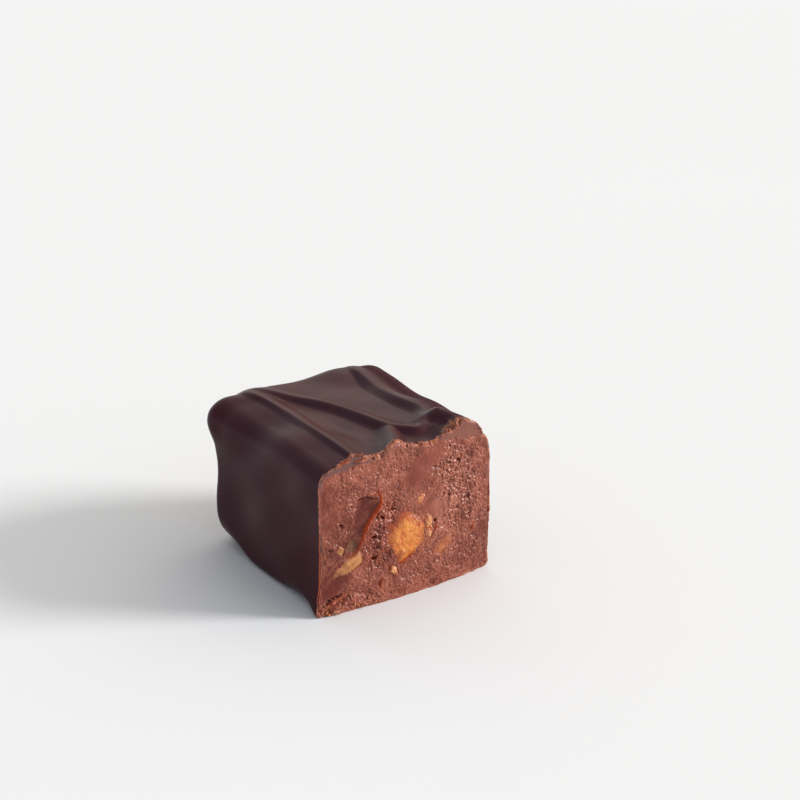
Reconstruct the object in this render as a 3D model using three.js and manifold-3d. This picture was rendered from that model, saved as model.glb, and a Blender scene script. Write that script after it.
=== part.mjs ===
// A dark chocolate with walnuts, cut across: a fudgy chocolate filling with walnut pieces in it,
// inside a thin dark chocolate coating that has drizzled threads on its top.
// Units are millimetres. +X is to the right of the cut face, +Y runs from the cut face to the rounded
// back end, and +Z is up. The origin is on the table, under the middle of the piece.

import * as THREE from "three";
import { mergeVertices } from "three/addons/utils/BufferGeometryUtils.js";
import Module from "manifold-3d";

// Driving dimensions of the block
const SIDE = { left: -12.05, right: 12.5 };
const LENGTH = 24.6; // cut face to back end
const HEIGHT = 19.1; // table to the top of the coating, between the threads
const COAT = 0.9; // thickness of the coating
const CLEARANCE = 0.3; // kept between pieces that touch
const MIDDLE = { x: (SIDE.left + SIDE.right) / 2, z: HEIGHT / 2 };

// Rounding of its edges. The lower left edge is nearly sharp at the cut, dented behind it, and roundest
// at the back end; its distances are measured from the cut face.
const TOP_ROUND = { left: 2.0, right: 2.8 };
const FOOT_ROUND_RIGHT = 0.9;
const FOOT_ROUND_LEFT = { cut: 0.4, plain: 0.9, plainFrom: 3 };
const FOOT_DENT = { extra: 1.4, at: 5.5, reach: 3.4 };
const FOOT_BACK = { extra: 3.4, from: 15, to: 24 };
const SMALLEST_ROUND = 0.35;
const BACK_ROUND = 1.5;
const BACK_CROWN = 0.35; // how far the middle of the back end swells

// The cut face: its foot swells forward, and the left side flares out at its lower end
const CUT_Y = -LENGTH / 2;
const CUT_SWELL = 1.05;
const FLARE = { out: 0.55, tall: 2.6, deep: 2.4 };
const BACK_SPREAD = { low: 0.4, extra: 0.45, from: 11, to: 16.5 }; // of the left side at the back end, more so near the top

// Hand-made unevenness of the coating
const UNEVEN = 0.2;
const FLAT_FOOT = 2.5; // height over which the unevenness fades out towards the table

// Steps along the outline (after each corner: right side, top, left side, bottom) and along the length
const EDGE_STEPS = [8, 38, 8, 6];
const CORNER_STEPS = 4;
const COATING_ROWS = { body: 28, round: 4, back: 4 };
const INSIDE_ROWS = { body: 3, round: 2, back: 1 }; // shared by the cavity and the filling in it
const BACK_CROWDING = 1.6; // the higher, the closer the back end's rings are to its edge

// The filling's cut face is a grid of this many steps
const FACE_STEPS = { across: 32, up: 26 };

// A torn flap of filling: a raised edge that leans from its tip down to the left, with a hollow beside it
const FLAP = { tipX: -3.3, tipZ: 14.3, lean: 0.48, low: 7.0, soft: 0.5, fade: 1.5, tipFade: 0.4 };
const FLAP_RAISE = { height: 0.6, reach: 2.2 };
const FLAP_HOLLOW = { depth: 0.35, reach: 1.4 };
const CRAGS = { coarse: 0.16, fine: 0.1 };

const material = (color, roughness) => new THREE.MeshStandardMaterial({ color, roughness, metalness: 0 });
const DARK_CHOCOLATE = material(0x3a2626, 0.35);
const FILLING_BROWN = material(0x7d4f43, 0.6);
const WALNUT_TAN = material(0xc98f4e, 0.55);

const { clamp, lerp, smoothstep, degToRad } = THREE.MathUtils;
const QUARTER = Math.PI / 2;
const steps = (count, make) => Array.from({ length: count }, (_, k) => make(k));
const bump = (offset, reach) => Math.exp(-((offset / reach) ** 2));

// The block's outline

// How far forward the cut face lies at a place on it
function cutFace(x, z) {
  const across = Math.max(1 - (x / SIDE.right) ** 2, 0);
  return CUT_Y - CUT_SWELL * across * (1 - z / HEIGHT);
}

// Rounding of the lower left edge at a place along the length
function footRound(y) {
  const fromCut = y - CUT_Y;
  const plain = lerp(FOOT_ROUND_LEFT.cut, FOOT_ROUND_LEFT.plain, smoothstep(fromCut, 0, FOOT_ROUND_LEFT.plainFrom));
  const dent = FOOT_DENT.extra * bump(fromCut - FOOT_DENT.at, FOOT_DENT.reach);
  return plain + dent + FOOT_BACK.extra * smoothstep(fromCut, FOOT_BACK.from, FOOT_BACK.to);
}

// The corners of the outline, set in by inset: bottom right, top right, top left, bottom left.
// Each has its rounding and the middle of its arc.
function corners(y, inset) {
  const rounds = [FOOT_ROUND_RIGHT, TOP_ROUND.right, TOP_ROUND.left, footRound(y)];
  return rounds.map((round, i) => {
    const r = Math.max(round - inset, SMALLEST_ROUND);
    const isRight = i < 2;
    const isTop = i === 1 || i === 2;
    const x = isRight ? SIDE.right - inset - r : SIDE.left + inset + r;
    const z = isTop ? HEIGHT - inset - r : inset + r;
    return { r, isRight, isTop, centre: new THREE.Vector2(x, z) };
  });
}

// Points round the outline at one place along the length, anticlockwise seen from the cut face
function outline(y, inset) {
  const arcs = corners(y, inset).map(({ r, centre }, i) =>
    steps(CORNER_STEPS + 1, (k) => {
      const angle = QUARTER * (i - 1 + k / CORNER_STEPS);
      return new THREE.Vector2(Math.cos(angle), Math.sin(angle)).multiplyScalar(r).add(centre);
    }),
  );
  return arcs.flatMap((arc, i) => {
    const from = arc[CORNER_STEPS];
    const to = arcs[(i + 1) % arcs.length][0];
    return [...arc, ...steps(EDGE_STEPS[i] - 1, (k) => from.clone().lerp(to, (k + 1) / EDGE_STEPS[i]))];
  });
}

// The left side flares out at the foot of the cut face and spreads towards the back end
function flare(point) {
  const near = bump(point.y - CUT_Y, FLARE.deep) * bump(point.z, FLARE.tall);
  const spread = BACK_SPREAD.low + BACK_SPREAD.extra * smoothstep(point.z, BACK_SPREAD.from, BACK_SPREAD.to);
  const out = FLARE.out * near + spread * smoothstep(point.y, 0, LENGTH / 2);
  return point.setX(point.x - out * clamp(point.x / SIDE.left, 0, 1) ** 4);
}

// Rings of points from the cut face to the back end, and the last point, in the middle of the back end.
// ringAt(y) gives a ring's outline, and front(x, z) how far forward the first ring lies.
function rings(inset, rows, ringAt, front) {
  const back = LENGTH / 2 - inset;
  const shoulder = back - BACK_ROUND;
  const half = { x: (SIDE.right - SIDE.left) / 2 - inset, z: HEIGHT / 2 - inset };
  const made = [];
  for (let row = 0; row <= rows.body; row++) {
    const share = row / rows.body;
    const outlined = ringAt(lerp(CUT_Y, shoulder, share));
    made.push(outlined.map(({ x, y: z }) => new THREE.Vector3(x, lerp(front(x, z), shoulder, share), z)));
  }
  const drawnIn = (by, shrink, depth) =>
    ringAt(back).map(({ x, y: z }) => {
      const dx = (x - MIDDLE.x) * (1 - by / half.x) * shrink;
      const dz = (z - MIDDLE.z) * (1 - by / half.z) * shrink;
      const crown = BACK_CROWN * (1 - (dx / half.x) ** 2) * (1 - (dz / half.z) ** 2);
      return new THREE.Vector3(MIDDLE.x + dx, depth + crown, MIDDLE.z + dz);
    });
  for (let row = 1; row <= rows.round; row++) {
    const turn = (QUARTER * row) / rows.round;
    made.push(drawnIn(BACK_ROUND * (1 - Math.cos(turn)), 1, shoulder + BACK_ROUND * Math.sin(turn)));
  }
  for (let row = 1; row <= rows.back; row++)
    made.push(drawnIn(BACK_ROUND, 1 - (row / (rows.back + 1)) ** BACK_CROWDING, back));
  return { made, pole: new THREE.Vector3(MIDDLE.x, back + BACK_CROWN, MIDDLE.z) };
}

// Triangles of a tube of rings that is closed by its pole. Its first vertex is number start.
function ringTriangles(ringCount, around, start) {
  const index = [];
  const at = (row, i) => start + row * around + (i % around);
  for (let row = 0; row + 1 < ringCount; row++)
    for (let i = 0; i < around; i++) {
      index.push(at(row, i), at(row + 1, i), at(row + 1, i + 1));
      index.push(at(row, i), at(row + 1, i + 1), at(row, i + 1));
    }
  const pole = start + ringCount * around;
  for (let i = 0; i < around; i++) index.push(at(ringCount - 1, i), pole, at(ringCount - 1, i + 1));
  return index;
}

function meshOf(points, index) {
  const geometry = new THREE.BufferGeometry().setFromPoints(points);
  geometry.setIndex(index);
  return geometry;
}

// Drizzled threads
// Each is a curve on the coating that runs from the cut face towards the back end. The left, middle and right
// runs have a sharp near side and a soft far side; the middle one ends in a loop near the cut. Broad, low
// ones are the arched shoulder, the drape over the back left corner and the rise at the back end, and a
// stub and a thick mound run out to the cut face.

const PAST_CUT = CUT_Y - 1.5;
const STEPS_PER_POINT = 8;
const MELT = 4; // the higher, the sharper the valley between two threads that join
const SHARP_POWER = 1.5; // of the fall-off on a thread's left, and on its right
const SOFT_POWER = 2;
const onTop = (x, y, drop = 0) => new THREE.Vector3(x, y, HEIGHT - drop);

function thread(height, leftReach, rightReach, points) {
  const curve = new THREE.CatmullRomCurve3(points).getSpacedPoints(points.length * STEPS_PER_POINT);
  return { height, leftReach, rightReach, curve };
}

const LEFT_RUN = thread(1.1, 1.3, 2.6, [
  onTop(-7.1, PAST_CUT),
  onTop(-7.2, -6.3),
  onTop(-7.2, -0.8),
  onTop(-7.2, 4.8),
  onTop(-7.5, 7.8),
  onTop(-8.1, 10.4, 0.6),
]);
const MIDDLE_RUN = thread(0.75, 1.5, 2.4, [
  onTop(6.1, -7.4),
  onTop(5.3, -8.8),
  onTop(4.1, -9.2),
  onTop(2.8, -7.8),
  onTop(1.9, -6.3),
  onTop(1.2, -4.6),
  onTop(0.5, -2.4),
  onTop(-0.5, 0.7),
  onTop(-2.1, 3.7),
  onTop(-3.6, 6.7),
  onTop(-5.5, 9.7),
  onTop(-7.0, 11.2, 0.3),
  onTop(-8.6, 12.2, 1.2),
]);
const RIGHT_RUN = thread(0.65, 1.5, 2.6, [
  onTop(6.1, -7.4),
  onTop(7.5, -4.8),
  onTop(7.5, -2.4),
  onTop(7.0, 0.2),
  onTop(6.8, 3.4),
  onTop(7.0, 6.6),
  onTop(7.1, 9.0, 0.1),
  onTop(7.0, 11.2, 1.2),
]);
const SHOULDER = thread(0.7, 4.6, 4.6, [
  onTop(-7.4, PAST_CUT),
  onTop(-7.3, -4.0),
  onTop(-7.3, 4.0),
  onTop(-7.8, 9.5),
]);
const DRAPE = thread(0.6, 3.2, 3.2, [onTop(-8.2, 9.4), onTop(-10.6, 11.2, 0.9), onTop(-11.8, 11.6, 2.4)]);
const BACK_RISE = thread(0.6, 6.0, 6.0, [onTop(-6.0, 11.6), onTop(-1.0, 11.8), onTop(4.0, 11.6, 0.5)]);
const STUB = thread(0.9, 2.0, 1.8, [
  onTop(-2.2, PAST_CUT),
  onTop(-0.8, -11.4),
  onTop(0.4, -9.0, 0.1),
  onTop(1.2, -6.9, 0.4),
]);
const MOUND_LOW = thread(0.7, 2.6, 2.6, [onTop(6.4, PAST_CUT), onTop(6.2, -11.5), onTop(6.2, -9.8)]);
const MOUND_HIGH = thread(1.75, 3.2, 3.2, [onTop(8.7, PAST_CUT), onTop(8.4, -10.4), onTop(7.8, -8.0)]);
const THREADS = [LEFT_RUN, MIDDLE_RUN, RIGHT_RUN, SHOULDER, DRAPE, BACK_RISE, STUB, MOUND_LOW, MOUND_HIGH];

// Distance from a point to a curve, and its side: 1 straight to the left of the curve's heading, -1 to its right
function besideCurve(point, curve) {
  const nearest = new THREE.Vector3();
  const line = new THREE.Line3();
  let distance = Infinity;
  let side = 0;
  for (let i = 0; i + 1 < curve.length; i++) {
    line.set(curve[i], curve[i + 1]).closestPointToPoint(point, true, nearest);
    const gap = Math.max(nearest.distanceTo(point), 1e-6);
    if (gap >= distance) continue;
    const heading = curve[i + 1].clone().sub(curve[i]);
    const offset = point.clone().sub(nearest);
    distance = gap;
    side = (heading.x * offset.y - heading.y * offset.x) / (Math.hypot(heading.x, heading.y) * gap);
  }
  return { distance, side };
}

// Height of the threads over the coating: each has a crest, sharper on its left side, with a soft foot,
// and they melt together
function threadHeight(point) {
  const sum = THREADS.reduce((total, { curve, height, leftReach, rightReach }) => {
    const { distance, side } = besideCurve(point, curve);
    const reach = lerp(rightReach, leftReach, (1 + side) / 2);
    const share = clamp(1 - (distance / reach) ** lerp(SOFT_POWER, SHARP_POWER, (1 + side) / 2), 0, 1);
    return total + (height * share ** 2) ** MELT;
  }, 0);
  return sum ** (1 / MELT);
}

// Soft dents and swellings that a poured coating has
function unevenness({ x, y, z }) {
  const long = Math.sin(0.33 * x + 0.21 * z + 0.9) * Math.sin(0.36 * y - 0.17 * z + 0.4);
  const short = Math.sin(0.71 * y + 0.52 * z) * Math.cos(0.63 * x - 0.4 * z + 1.1);
  return UNEVEN * (long + short / 2) * smoothstep(z, 0, FLAT_FOOT);
}

// The coating: a thin shell, open at the cut face
function coatingGeometry() {
  const outside = rings(0, COATING_ROWS, (y) => outline(y, 0), cutFace);
  const inside = rings(COAT, INSIDE_ROWS, (y) => outline(y, COAT), cutFace);
  const around = outside.made[0].length;
  const outer = [...outside.made.flat(), outside.pole];
  const inner = [...inside.made.flat(), inside.pole];

  // Its outside swells along its normals, except under it, where it is flat
  const skinIndex = ringTriangles(outside.made.length, around, 0);
  const skin = meshOf(outer, skinIndex);
  skin.computeVertexNormals();
  const normal = new THREE.Vector3();
  outer.forEach((point, i) => {
    normal.fromBufferAttribute(skin.attributes.normal, i);
    if (i < around) normal.setY(0).normalize();
    if (point.z > 0) point.addScaledVector(normal, unevenness(point) + threadHeight(point));
    point.setZ(Math.max(point.z, 0));
  });

  const cavityIndex = ringTriangles(inside.made.length, around, outer.length).reverse();
  const rimIndex = [];
  for (let i = 0; i < around; i++) {
    const next = (i + 1) % around;
    rimIndex.push(i, next, outer.length + next, i, outer.length + next, outer.length + i);
  }
  return meshOf([...outer, ...inner].map(flare), [...skinIndex, ...cavityIndex, ...rimIndex]);
}

// The filling

// Relief of its cut face: how far it stands forward of the plain cut
function fillingRelief(x, z) {
  const aside = x - FLAP.tipX + FLAP.lean * (FLAP.tipZ - z);
  const foot = smoothstep(z, FLAP.low - FLAP.fade, FLAP.low + FLAP.fade);
  const tip = 1 - smoothstep(z, FLAP.tipZ - FLAP.tipFade, FLAP.tipZ + FLAP.tipFade);
  const raised = FLAP_RAISE.height * bump(Math.min(aside, 0), FLAP_RAISE.reach);
  const hollow = FLAP_HOLLOW.depth * bump(aside, FLAP_HOLLOW.reach);
  const flap = lerp(raised, -hollow, smoothstep(aside, -FLAP.soft, FLAP.soft));
  const coarse = CRAGS.coarse * Math.sin(0.9 * x + 0.5 * z) * Math.sin(0.8 * z - 0.4 * x + 1);
  const fine = CRAGS.fine * Math.sin(2.1 * x - 1.2 * z + 0.6) * Math.sin(1.7 * z + 0.9 * x);
  return flap * foot * tip + coarse + fine;
}

// The point of the outline that goes with a point (s, t) on the border of a square from -1 to 1
function borderPoint(s, t, inset, y) {
  const x = lerp(SIDE.left + inset, SIDE.right - inset, (s + 1) / 2);
  const z = lerp(inset, HEIGHT - inset, (t + 1) / 2);
  const { r, centre } = corners(y, inset).find(({ isRight, isTop }) => isRight === s > 0 && isTop === t > 0);
  const out = new THREE.Vector2(x, z).sub(centre);
  const inCorner = out.x * s > 0 && out.y * t > 0;
  return inCorner ? out.setLength(r).add(centre) : new THREE.Vector2(x, z);
}

// Grid places (i, j) on the border of the cut face, anticlockwise
function gridBorder() {
  const { across, up } = FACE_STEPS;
  return [
    ...steps(across, (k) => [k, 0]),
    ...steps(up, (k) => [across, k]),
    ...steps(across, (k) => [across - k, up]),
    ...steps(up, (k) => [0, up - k]),
  ];
}

// A plug that runs through the coating, with the torn cut face at its front
function fillingGeometry() {
  const inset = COAT + CLEARANCE;
  const { across, up } = FACE_STEPS;
  const square = (i, j) => [(2 * i) / across - 1, (2 * j) / up - 1];
  const border = gridBorder();
  const ringAt = (y) => border.map(([i, j]) => borderPoint(...square(i, j), inset, y));
  const front = (x, z) => cutFace(x, z) - fillingRelief(x, z);
  const { made, pole } = rings(inset, INSIDE_ROWS, ringAt, front);
  const points = [...made.flat(), pole];
  const index = ringTriangles(made.length, border.length, 0);

  // The cut face joins on to the first ring. Inside, its places are the outline shrunk towards the middle.
  const middle = new THREE.Vector2(MIDDLE.x, MIDDLE.z);
  const number = new Map(border.map((place, k) => [place.join(), k]));
  for (let i = 1; i < across; i++)
    for (let j = 1; j < up; j++) {
      const [s, t] = square(i, j);
      const out = Math.max(Math.abs(s), Math.abs(t));
      const edge = out > 0 ? borderPoint(s / out, t / out, inset, CUT_Y) : middle;
      const { x, y: z } = middle.clone().lerp(edge, out);
      number.set([i, j].join(), points.length);
      points.push(new THREE.Vector3(x, front(x, z), z));
    }
  const at = (i, j) => number.get([i, j].join());
  for (let i = 0; i < across; i++)
    for (let j = 0; j < up; j++) {
      index.push(at(i, j), at(i + 1, j), at(i + 1, j + 1));
      index.push(at(i, j), at(i + 1, j + 1), at(i, j + 1));
    }
  return meshOf(points.map(flare), index);
}

// Walnut pieces
// x and z give the middle on the cut face, size half the length, depth and width, turn the slope in degrees,
// proud how far the piece stands out of the cut face, and detail how finely it is faceted.

const WALNUTS = [
  { name: "walnut_chunk", x: 0.3, z: 7.8, size: [2.7, 2.3, 2.35], turn: 60, proud: 0.45, detail: 2 },
  { name: "walnut_sliver_left", x: -8.05, z: 5.7, size: [2.1, 1.2, 0.72], turn: 16, proud: 0.2, detail: 2 },
  { name: "walnut_sliver_right", x: 5.4, z: 4.75, size: [1.6, 1.2, 0.75], turn: 38, proud: 0.12, detail: 2 },
  { name: "walnut_chip_1", x: 3.75, z: 7.75, size: [1.35, 0.9, 0.6], turn: 75, proud: 0.3, detail: 1 },
  { name: "walnut_chip_2", x: -9.0, z: 8.25, size: [0.6, 0.7, 0.42], turn: 60, proud: 0.15, detail: 1 },
  { name: "walnut_chip_3", x: -7.6, z: 8.55, size: [0.8, 0.7, 0.4], turn: 55, proud: 0.12, detail: 1 },
  { name: "walnut_chip_4", x: 2.5, z: 12.0, size: [0.75, 0.8, 0.5], turn: 50, proud: 0.15, detail: 1 },
  { name: "walnut_chip_5", x: -1.9, z: 3.8, size: [0.7, 0.7, 0.42], turn: -50, proud: 0.2, detail: 1 },
];
const LUMPS = 0.065; // how far the lumps stand out, as a share of the size
const FRONT_SHARE = 0.55; // the cut lies this far in front of the piece's middle, as a share of its half depth
const WELD = 1e-4;

// A lumpy piece round the origin, grown by a clearance, with its front cut off flat at flatFront
function walnutGeometry({ size, turn, detail, x: phase }, grown, flatFront) {
  const ball = new THREE.IcosahedronGeometry(1, detail);
  ball.deleteAttribute("normal");
  ball.deleteAttribute("uv");
  const geometry = mergeVertices(ball, WELD);
  const position = geometry.attributes.position;
  const half = new THREE.Vector3(...size).addScalar(grown);
  const point = new THREE.Vector3();
  for (let i = 0; i < position.count; i++) {
    const { x, y, z } = point.fromBufferAttribute(position, i).normalize();
    const lumps = Math.sin(3.1 * x + 2.3 * z + phase) + Math.sin(2.7 * y - 3.3 * x + 2 * phase);
    point.multiplyScalar(1 + LUMPS * lumps).multiply(half);
    position.setXYZ(i, point.x, Math.max(point.y, -flatFront), point.z);
  }
  return geometry.rotateY(-degToRad(turn));
}

// A walnut piece's middle lies behind its flat front, which stands proud of the cut face
function walnutPlace({ x, z, size, proud }) {
  return new THREE.Vector3(x, cutFace(x, z) - proud + FRONT_SHARE * size[1], z);
}

const wasm = await Module();
wasm.setup();

function solidOf(geometry) {
  const vertProperties = new Float32Array(geometry.attributes.position.array);
  const triVerts = new Uint32Array(geometry.index.array);
  return new wasm.Manifold(new wasm.Mesh({ numProp: 3, vertProperties, triVerts }));
}

function geometryOf(solid) {
  const { vertProperties, triVerts } = solid.getMesh();
  const geometry = new THREE.BufferGeometry();
  geometry.setAttribute("position", new THREE.BufferAttribute(vertProperties, 3));
  geometry.setIndex(new THREE.BufferAttribute(triVerts, 1));
  return geometry;
}

// Each walnut piece sits in its own pocket in the filling, with clearance all round
function fillingWithPockets() {
  const pockets = WALNUTS.map((nut) => {
    const { x, y, z } = walnutPlace(nut);
    return solidOf(walnutGeometry(nut, CLEARANCE, Infinity).translate(x, y, z));
  });
  return geometryOf(pockets.reduce((left, pocket) => left.subtract(pocket), solidOf(fillingGeometry())));
}

function named(name, geometry, finish) {
  const mesh = new THREE.Mesh(geometry, finish);
  mesh.name = name;
  return mesh;
}

const chocolate = new THREE.Group();
chocolate.add(named("coating", coatingGeometry(), DARK_CHOCOLATE));
chocolate.add(named("filling", fillingWithPockets(), FILLING_BROWN));
for (const nut of WALNUTS) {
  const mesh = named(nut.name, walnutGeometry(nut, 0, FRONT_SHARE * nut.size[1]), WALNUT_TAN);
  mesh.position.copy(walnutPlace(nut));
  chocolate.add(mesh);
}

// The origin is under the middle of the piece
const extent = new THREE.Box3().setFromObject(chocolate);
const centre = extent.getCenter(new THREE.Vector3());
chocolate.position.set(-centre.x, -centre.y, -extent.min.z);

export default chocolate;
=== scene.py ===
# %% [markdown]
# # A cut dark chocolate with walnuts
# This is one half of a small enrobed chocolate. A thin dark coating, with threads drizzled over its top,
# goes round a brown, fudgy filling, and the cut shows walnut pieces in the filling.
# The packed model gives the sizes and places. It could be dressed by sculpting, but here every surface is
# worked out from a formula, so that each number can be read and changed.

# %% Load the packed model
import bpy
import numpy as np
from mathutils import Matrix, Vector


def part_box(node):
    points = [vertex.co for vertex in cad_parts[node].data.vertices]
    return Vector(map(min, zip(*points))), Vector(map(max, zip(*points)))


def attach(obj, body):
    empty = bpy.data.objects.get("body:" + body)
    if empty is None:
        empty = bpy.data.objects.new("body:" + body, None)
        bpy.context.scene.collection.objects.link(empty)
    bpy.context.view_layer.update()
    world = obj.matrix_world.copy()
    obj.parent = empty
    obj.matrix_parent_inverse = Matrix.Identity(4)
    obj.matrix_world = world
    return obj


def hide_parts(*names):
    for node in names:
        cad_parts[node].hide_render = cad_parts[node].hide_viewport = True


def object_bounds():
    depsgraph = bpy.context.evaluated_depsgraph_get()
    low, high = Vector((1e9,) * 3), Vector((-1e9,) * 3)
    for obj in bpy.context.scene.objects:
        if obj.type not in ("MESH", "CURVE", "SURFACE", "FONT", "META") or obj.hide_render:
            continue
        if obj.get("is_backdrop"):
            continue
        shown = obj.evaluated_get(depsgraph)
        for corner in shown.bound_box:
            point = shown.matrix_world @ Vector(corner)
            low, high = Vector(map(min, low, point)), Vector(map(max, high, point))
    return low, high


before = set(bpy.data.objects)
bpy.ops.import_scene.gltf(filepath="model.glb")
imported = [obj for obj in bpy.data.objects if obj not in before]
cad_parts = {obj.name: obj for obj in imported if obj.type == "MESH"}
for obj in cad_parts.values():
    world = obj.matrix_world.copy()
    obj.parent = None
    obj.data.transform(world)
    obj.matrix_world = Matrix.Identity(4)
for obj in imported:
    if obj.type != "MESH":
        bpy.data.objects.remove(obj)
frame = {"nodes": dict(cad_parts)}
cad_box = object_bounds()
print("nodes:", ", ".join(frame["nodes"]))

# %% [markdown]
# ## The block's sizes
# All sizes are in millimetres in the block's own frame: the cut face looks along -Y, +X is to its right and
# +Z is up. The packed model puts its origin under the middle of its box. The filling's right side and back
# end are plain, so they tell how far the two frames lie apart.

# %% Sizes and the shift between the frames
PER_METRE = 1000
SIDE_LEFT = -12.05
SIDE_RIGHT = 12.5
LENGTH = 24.6
HEIGHT = 19.1
COAT = 0.9
CLEARANCE = 0.3
BACK_ROUND = 1.5
BACK_CROWN = 0.35
CUT_Y = -LENGTH / 2
MIDDLE_X = (SIDE_LEFT + SIDE_RIGHT) / 2
MIDDLE_Z = HEIGHT / 2

filling_high = np.array(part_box("filling")[1]) * PER_METRE
SHIFT = np.array([
    filling_high[0] - (SIDE_RIGHT - COAT - CLEARANCE),
    filling_high[1] - (LENGTH / 2 - COAT - CLEARANCE + BACK_CROWN),
    0.0,
])
print("the block's frame lies", SHIFT.round(3), "mm from the packed model's")

# %% [markdown]
# ## Helpers for smooth forms
# Poured and torn food has no hard corners in its large forms, so steps are eased with a smoothstep and
# swellings are bell curves. Random detail comes from lattices of seeded numbers, so it is the same each run.
# Most of it is a sum of layers, each with a height, a size and a seed of its own.

# %% Steps, bells and noise
LATTICE = 128
TINY = 1e-9


def smooth(value, low, high):
    """0 below low, 1 above high, and 3 t squared minus 2 t cubed between them."""
    t = np.clip((value - low) / (high - low), 0, 1)
    return t * t * (3 - 2 * t)


def bell(offset, reach):
    """e to the power of minus (offset over reach) squared."""
    return np.exp(-((offset / reach) ** 2))


def soft_noise(u, v, seed):
    """Random numbers from -1 to 1 at whole-number places, blended between them with smoothsteps."""
    table = np.random.default_rng(seed).uniform(-1, 1, (LATTICE, LATTICE))
    i = np.floor(u).astype(int)
    j = np.floor(v).astype(int)
    a = smooth(u - i, 0, 1)
    b = smooth(v - j, 0, 1)
    i, after_i, j, after_j = (index % LATTICE for index in (i, i + 1, j, j + 1))
    low = table[i, j] * (1 - a) + table[after_i, j] * a
    high = table[i, after_j] * (1 - a) + table[after_i, after_j] * a
    return low * (1 - b) + high * b


def bumps(u, v, layers):
    """Sum of the layers: a height times soft noise whose lattice places lie a size apart."""
    return sum(height * soft_noise(u / size, v / size, seed) for height, size, seed in layers)


def grains(u, v, seed):
    """Each whole-number cell holds one point at random. Gives the distance to the nearest one and a random
    number that belongs to it."""
    table = np.random.default_rng(seed).uniform(0, 1, (3, LATTICE, LATTICE))
    nearest = np.full(np.shape(u), np.inf)
    number = np.zeros(np.shape(u))
    for di in (-1, 0, 1):
        for dj in (-1, 0, 1):
            i = np.floor(u).astype(int) + di
            j = np.floor(v).astype(int) + dj
            offset_u, offset_v, own = table[:, i % LATTICE, j % LATTICE]
            distance = np.hypot(i + offset_u - u, j + offset_v - v)
            number = np.where(distance < nearest, own, number)
            nearest = np.minimum(distance, nearest)
    return nearest, number


print("noise along a slant goes down to", soft_noise(np.arange(50) / 7, np.arange(50) / 9, 1).min().round(2))

# %% [markdown]
# ## The block's outline
# Seen from the cut, the block is a rectangle with rounded corners. Its lower left edge is nearly sharp at
# the cut, dented behind it and round at the back. A rounded box with a Bevel modifier would have the same
# radius all along, so the outline is worked out for each place along the length instead.

# %% Rounded corners along the length
ROUND_TOP_LEFT = 2.0
ROUND_TOP_RIGHT = 2.8
ROUND_FOOT_RIGHT = 0.9
SMALLEST_ROUND = 0.35
FOOT_AT_CUT = 0.4
FOOT_BEHIND_CUT = 0.5
FOOT_AT_DENT = 1.4
FOOT_AT_BACK = 3.4
DENT_BEHIND_CUT = 5.5
DENT_REACH = 3.4


def foot_round(y):
    """Radius of the lower left edge: a step behind the cut, a bell at the dent and a step at the back."""
    behind = y - CUT_Y
    front = FOOT_AT_CUT + FOOT_BEHIND_CUT * smooth(behind, 0, 3)
    dent = FOOT_AT_DENT * bell(behind - DENT_BEHIND_CUT, DENT_REACH)
    return front + dent + FOOT_AT_BACK * smooth(behind, 15, 24)


def corner_arcs(y, inset):
    """Radius and middle of the four corner arcs, from the lower right one on, anticlockwise from the cut."""
    same_all_along = [np.full_like(y, r) for r in (ROUND_FOOT_RIGHT, ROUND_TOP_RIGHT, ROUND_TOP_LEFT)]
    rounds = np.stack([*same_all_along, foot_round(y)], -1)
    radius = np.maximum(rounds - inset, SMALLEST_ROUND)
    x = np.where([True, True, False, False], SIDE_RIGHT - inset - radius, SIDE_LEFT + inset + radius)
    z = np.where([False, True, True, False], HEIGHT - inset - radius, inset + radius)
    return radius, x, z


def outline(y, inset, arc_steps, edge_steps):
    """x and z round the block at each y: quarter circles at the corners and straight runs between them."""
    radius, middle_x, middle_z = corner_arcs(y, inset)
    xs = []
    zs = []
    for i in range(4):
        turn = np.pi / 2 * (i - 1 + np.arange(arc_steps[i] + 1) / arc_steps[i])
        xs.append(middle_x[:, i, None] + radius[:, i, None] * np.cos(turn))
        zs.append(middle_z[:, i, None] + radius[:, i, None] * np.sin(turn))
        share = np.arange(1, edge_steps[i]) / edge_steps[i]
        after = (i + 1) % 4
        towards = np.array([np.cos(turn[-1]), np.sin(turn[-1])])
        start_x = middle_x[:, i] + radius[:, i] * towards[0]
        start_z = middle_z[:, i] + radius[:, i] * towards[1]
        run_x = middle_x[:, after] + radius[:, after] * towards[0] - start_x
        run_z = middle_z[:, after] + radius[:, after] * towards[1] - start_z
        xs.append(start_x[:, None] + run_x[:, None] * share)
        zs.append(start_z[:, None] + run_z[:, None] * share)
    return np.concatenate(xs, 1), np.concatenate(zs, 1)


at_places = foot_round(np.array([CUT_Y, CUT_Y + DENT_BEHIND_CUT, LENGTH / 2])).round(2)
print("lower left rounding at the cut, the dent and the back:", at_places)

# %% [markdown]
# ## From the cut to the back end
# Rings of that outline run from the cut face to the rounded back end, and shrink to one point in its middle.
# The cut isn't quite flat: its foot swells forward, as soft filling does under a knife. The left side flares
# out a little at the foot of the cut and towards the back.

# %% Rings of the block
CUT_SWELL = 1.05
FOOT_FLARE = 0.55
FLARE_REACH_BACK = 2.4
FLARE_REACH_UP = 2.6
BACK_FLARE = 0.4
BACK_FLARE_HIGH = 0.45
END_CROWDING = 1.6


def cut_face(x, z):
    """y of the cut: furthest forward in the middle of its foot, falling off as x squared and as height."""
    across = np.maximum(1 - (x / SIDE_RIGHT) ** 2, 0)
    return CUT_Y - CUT_SWELL * across * (1 - z / HEIGHT)


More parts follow.
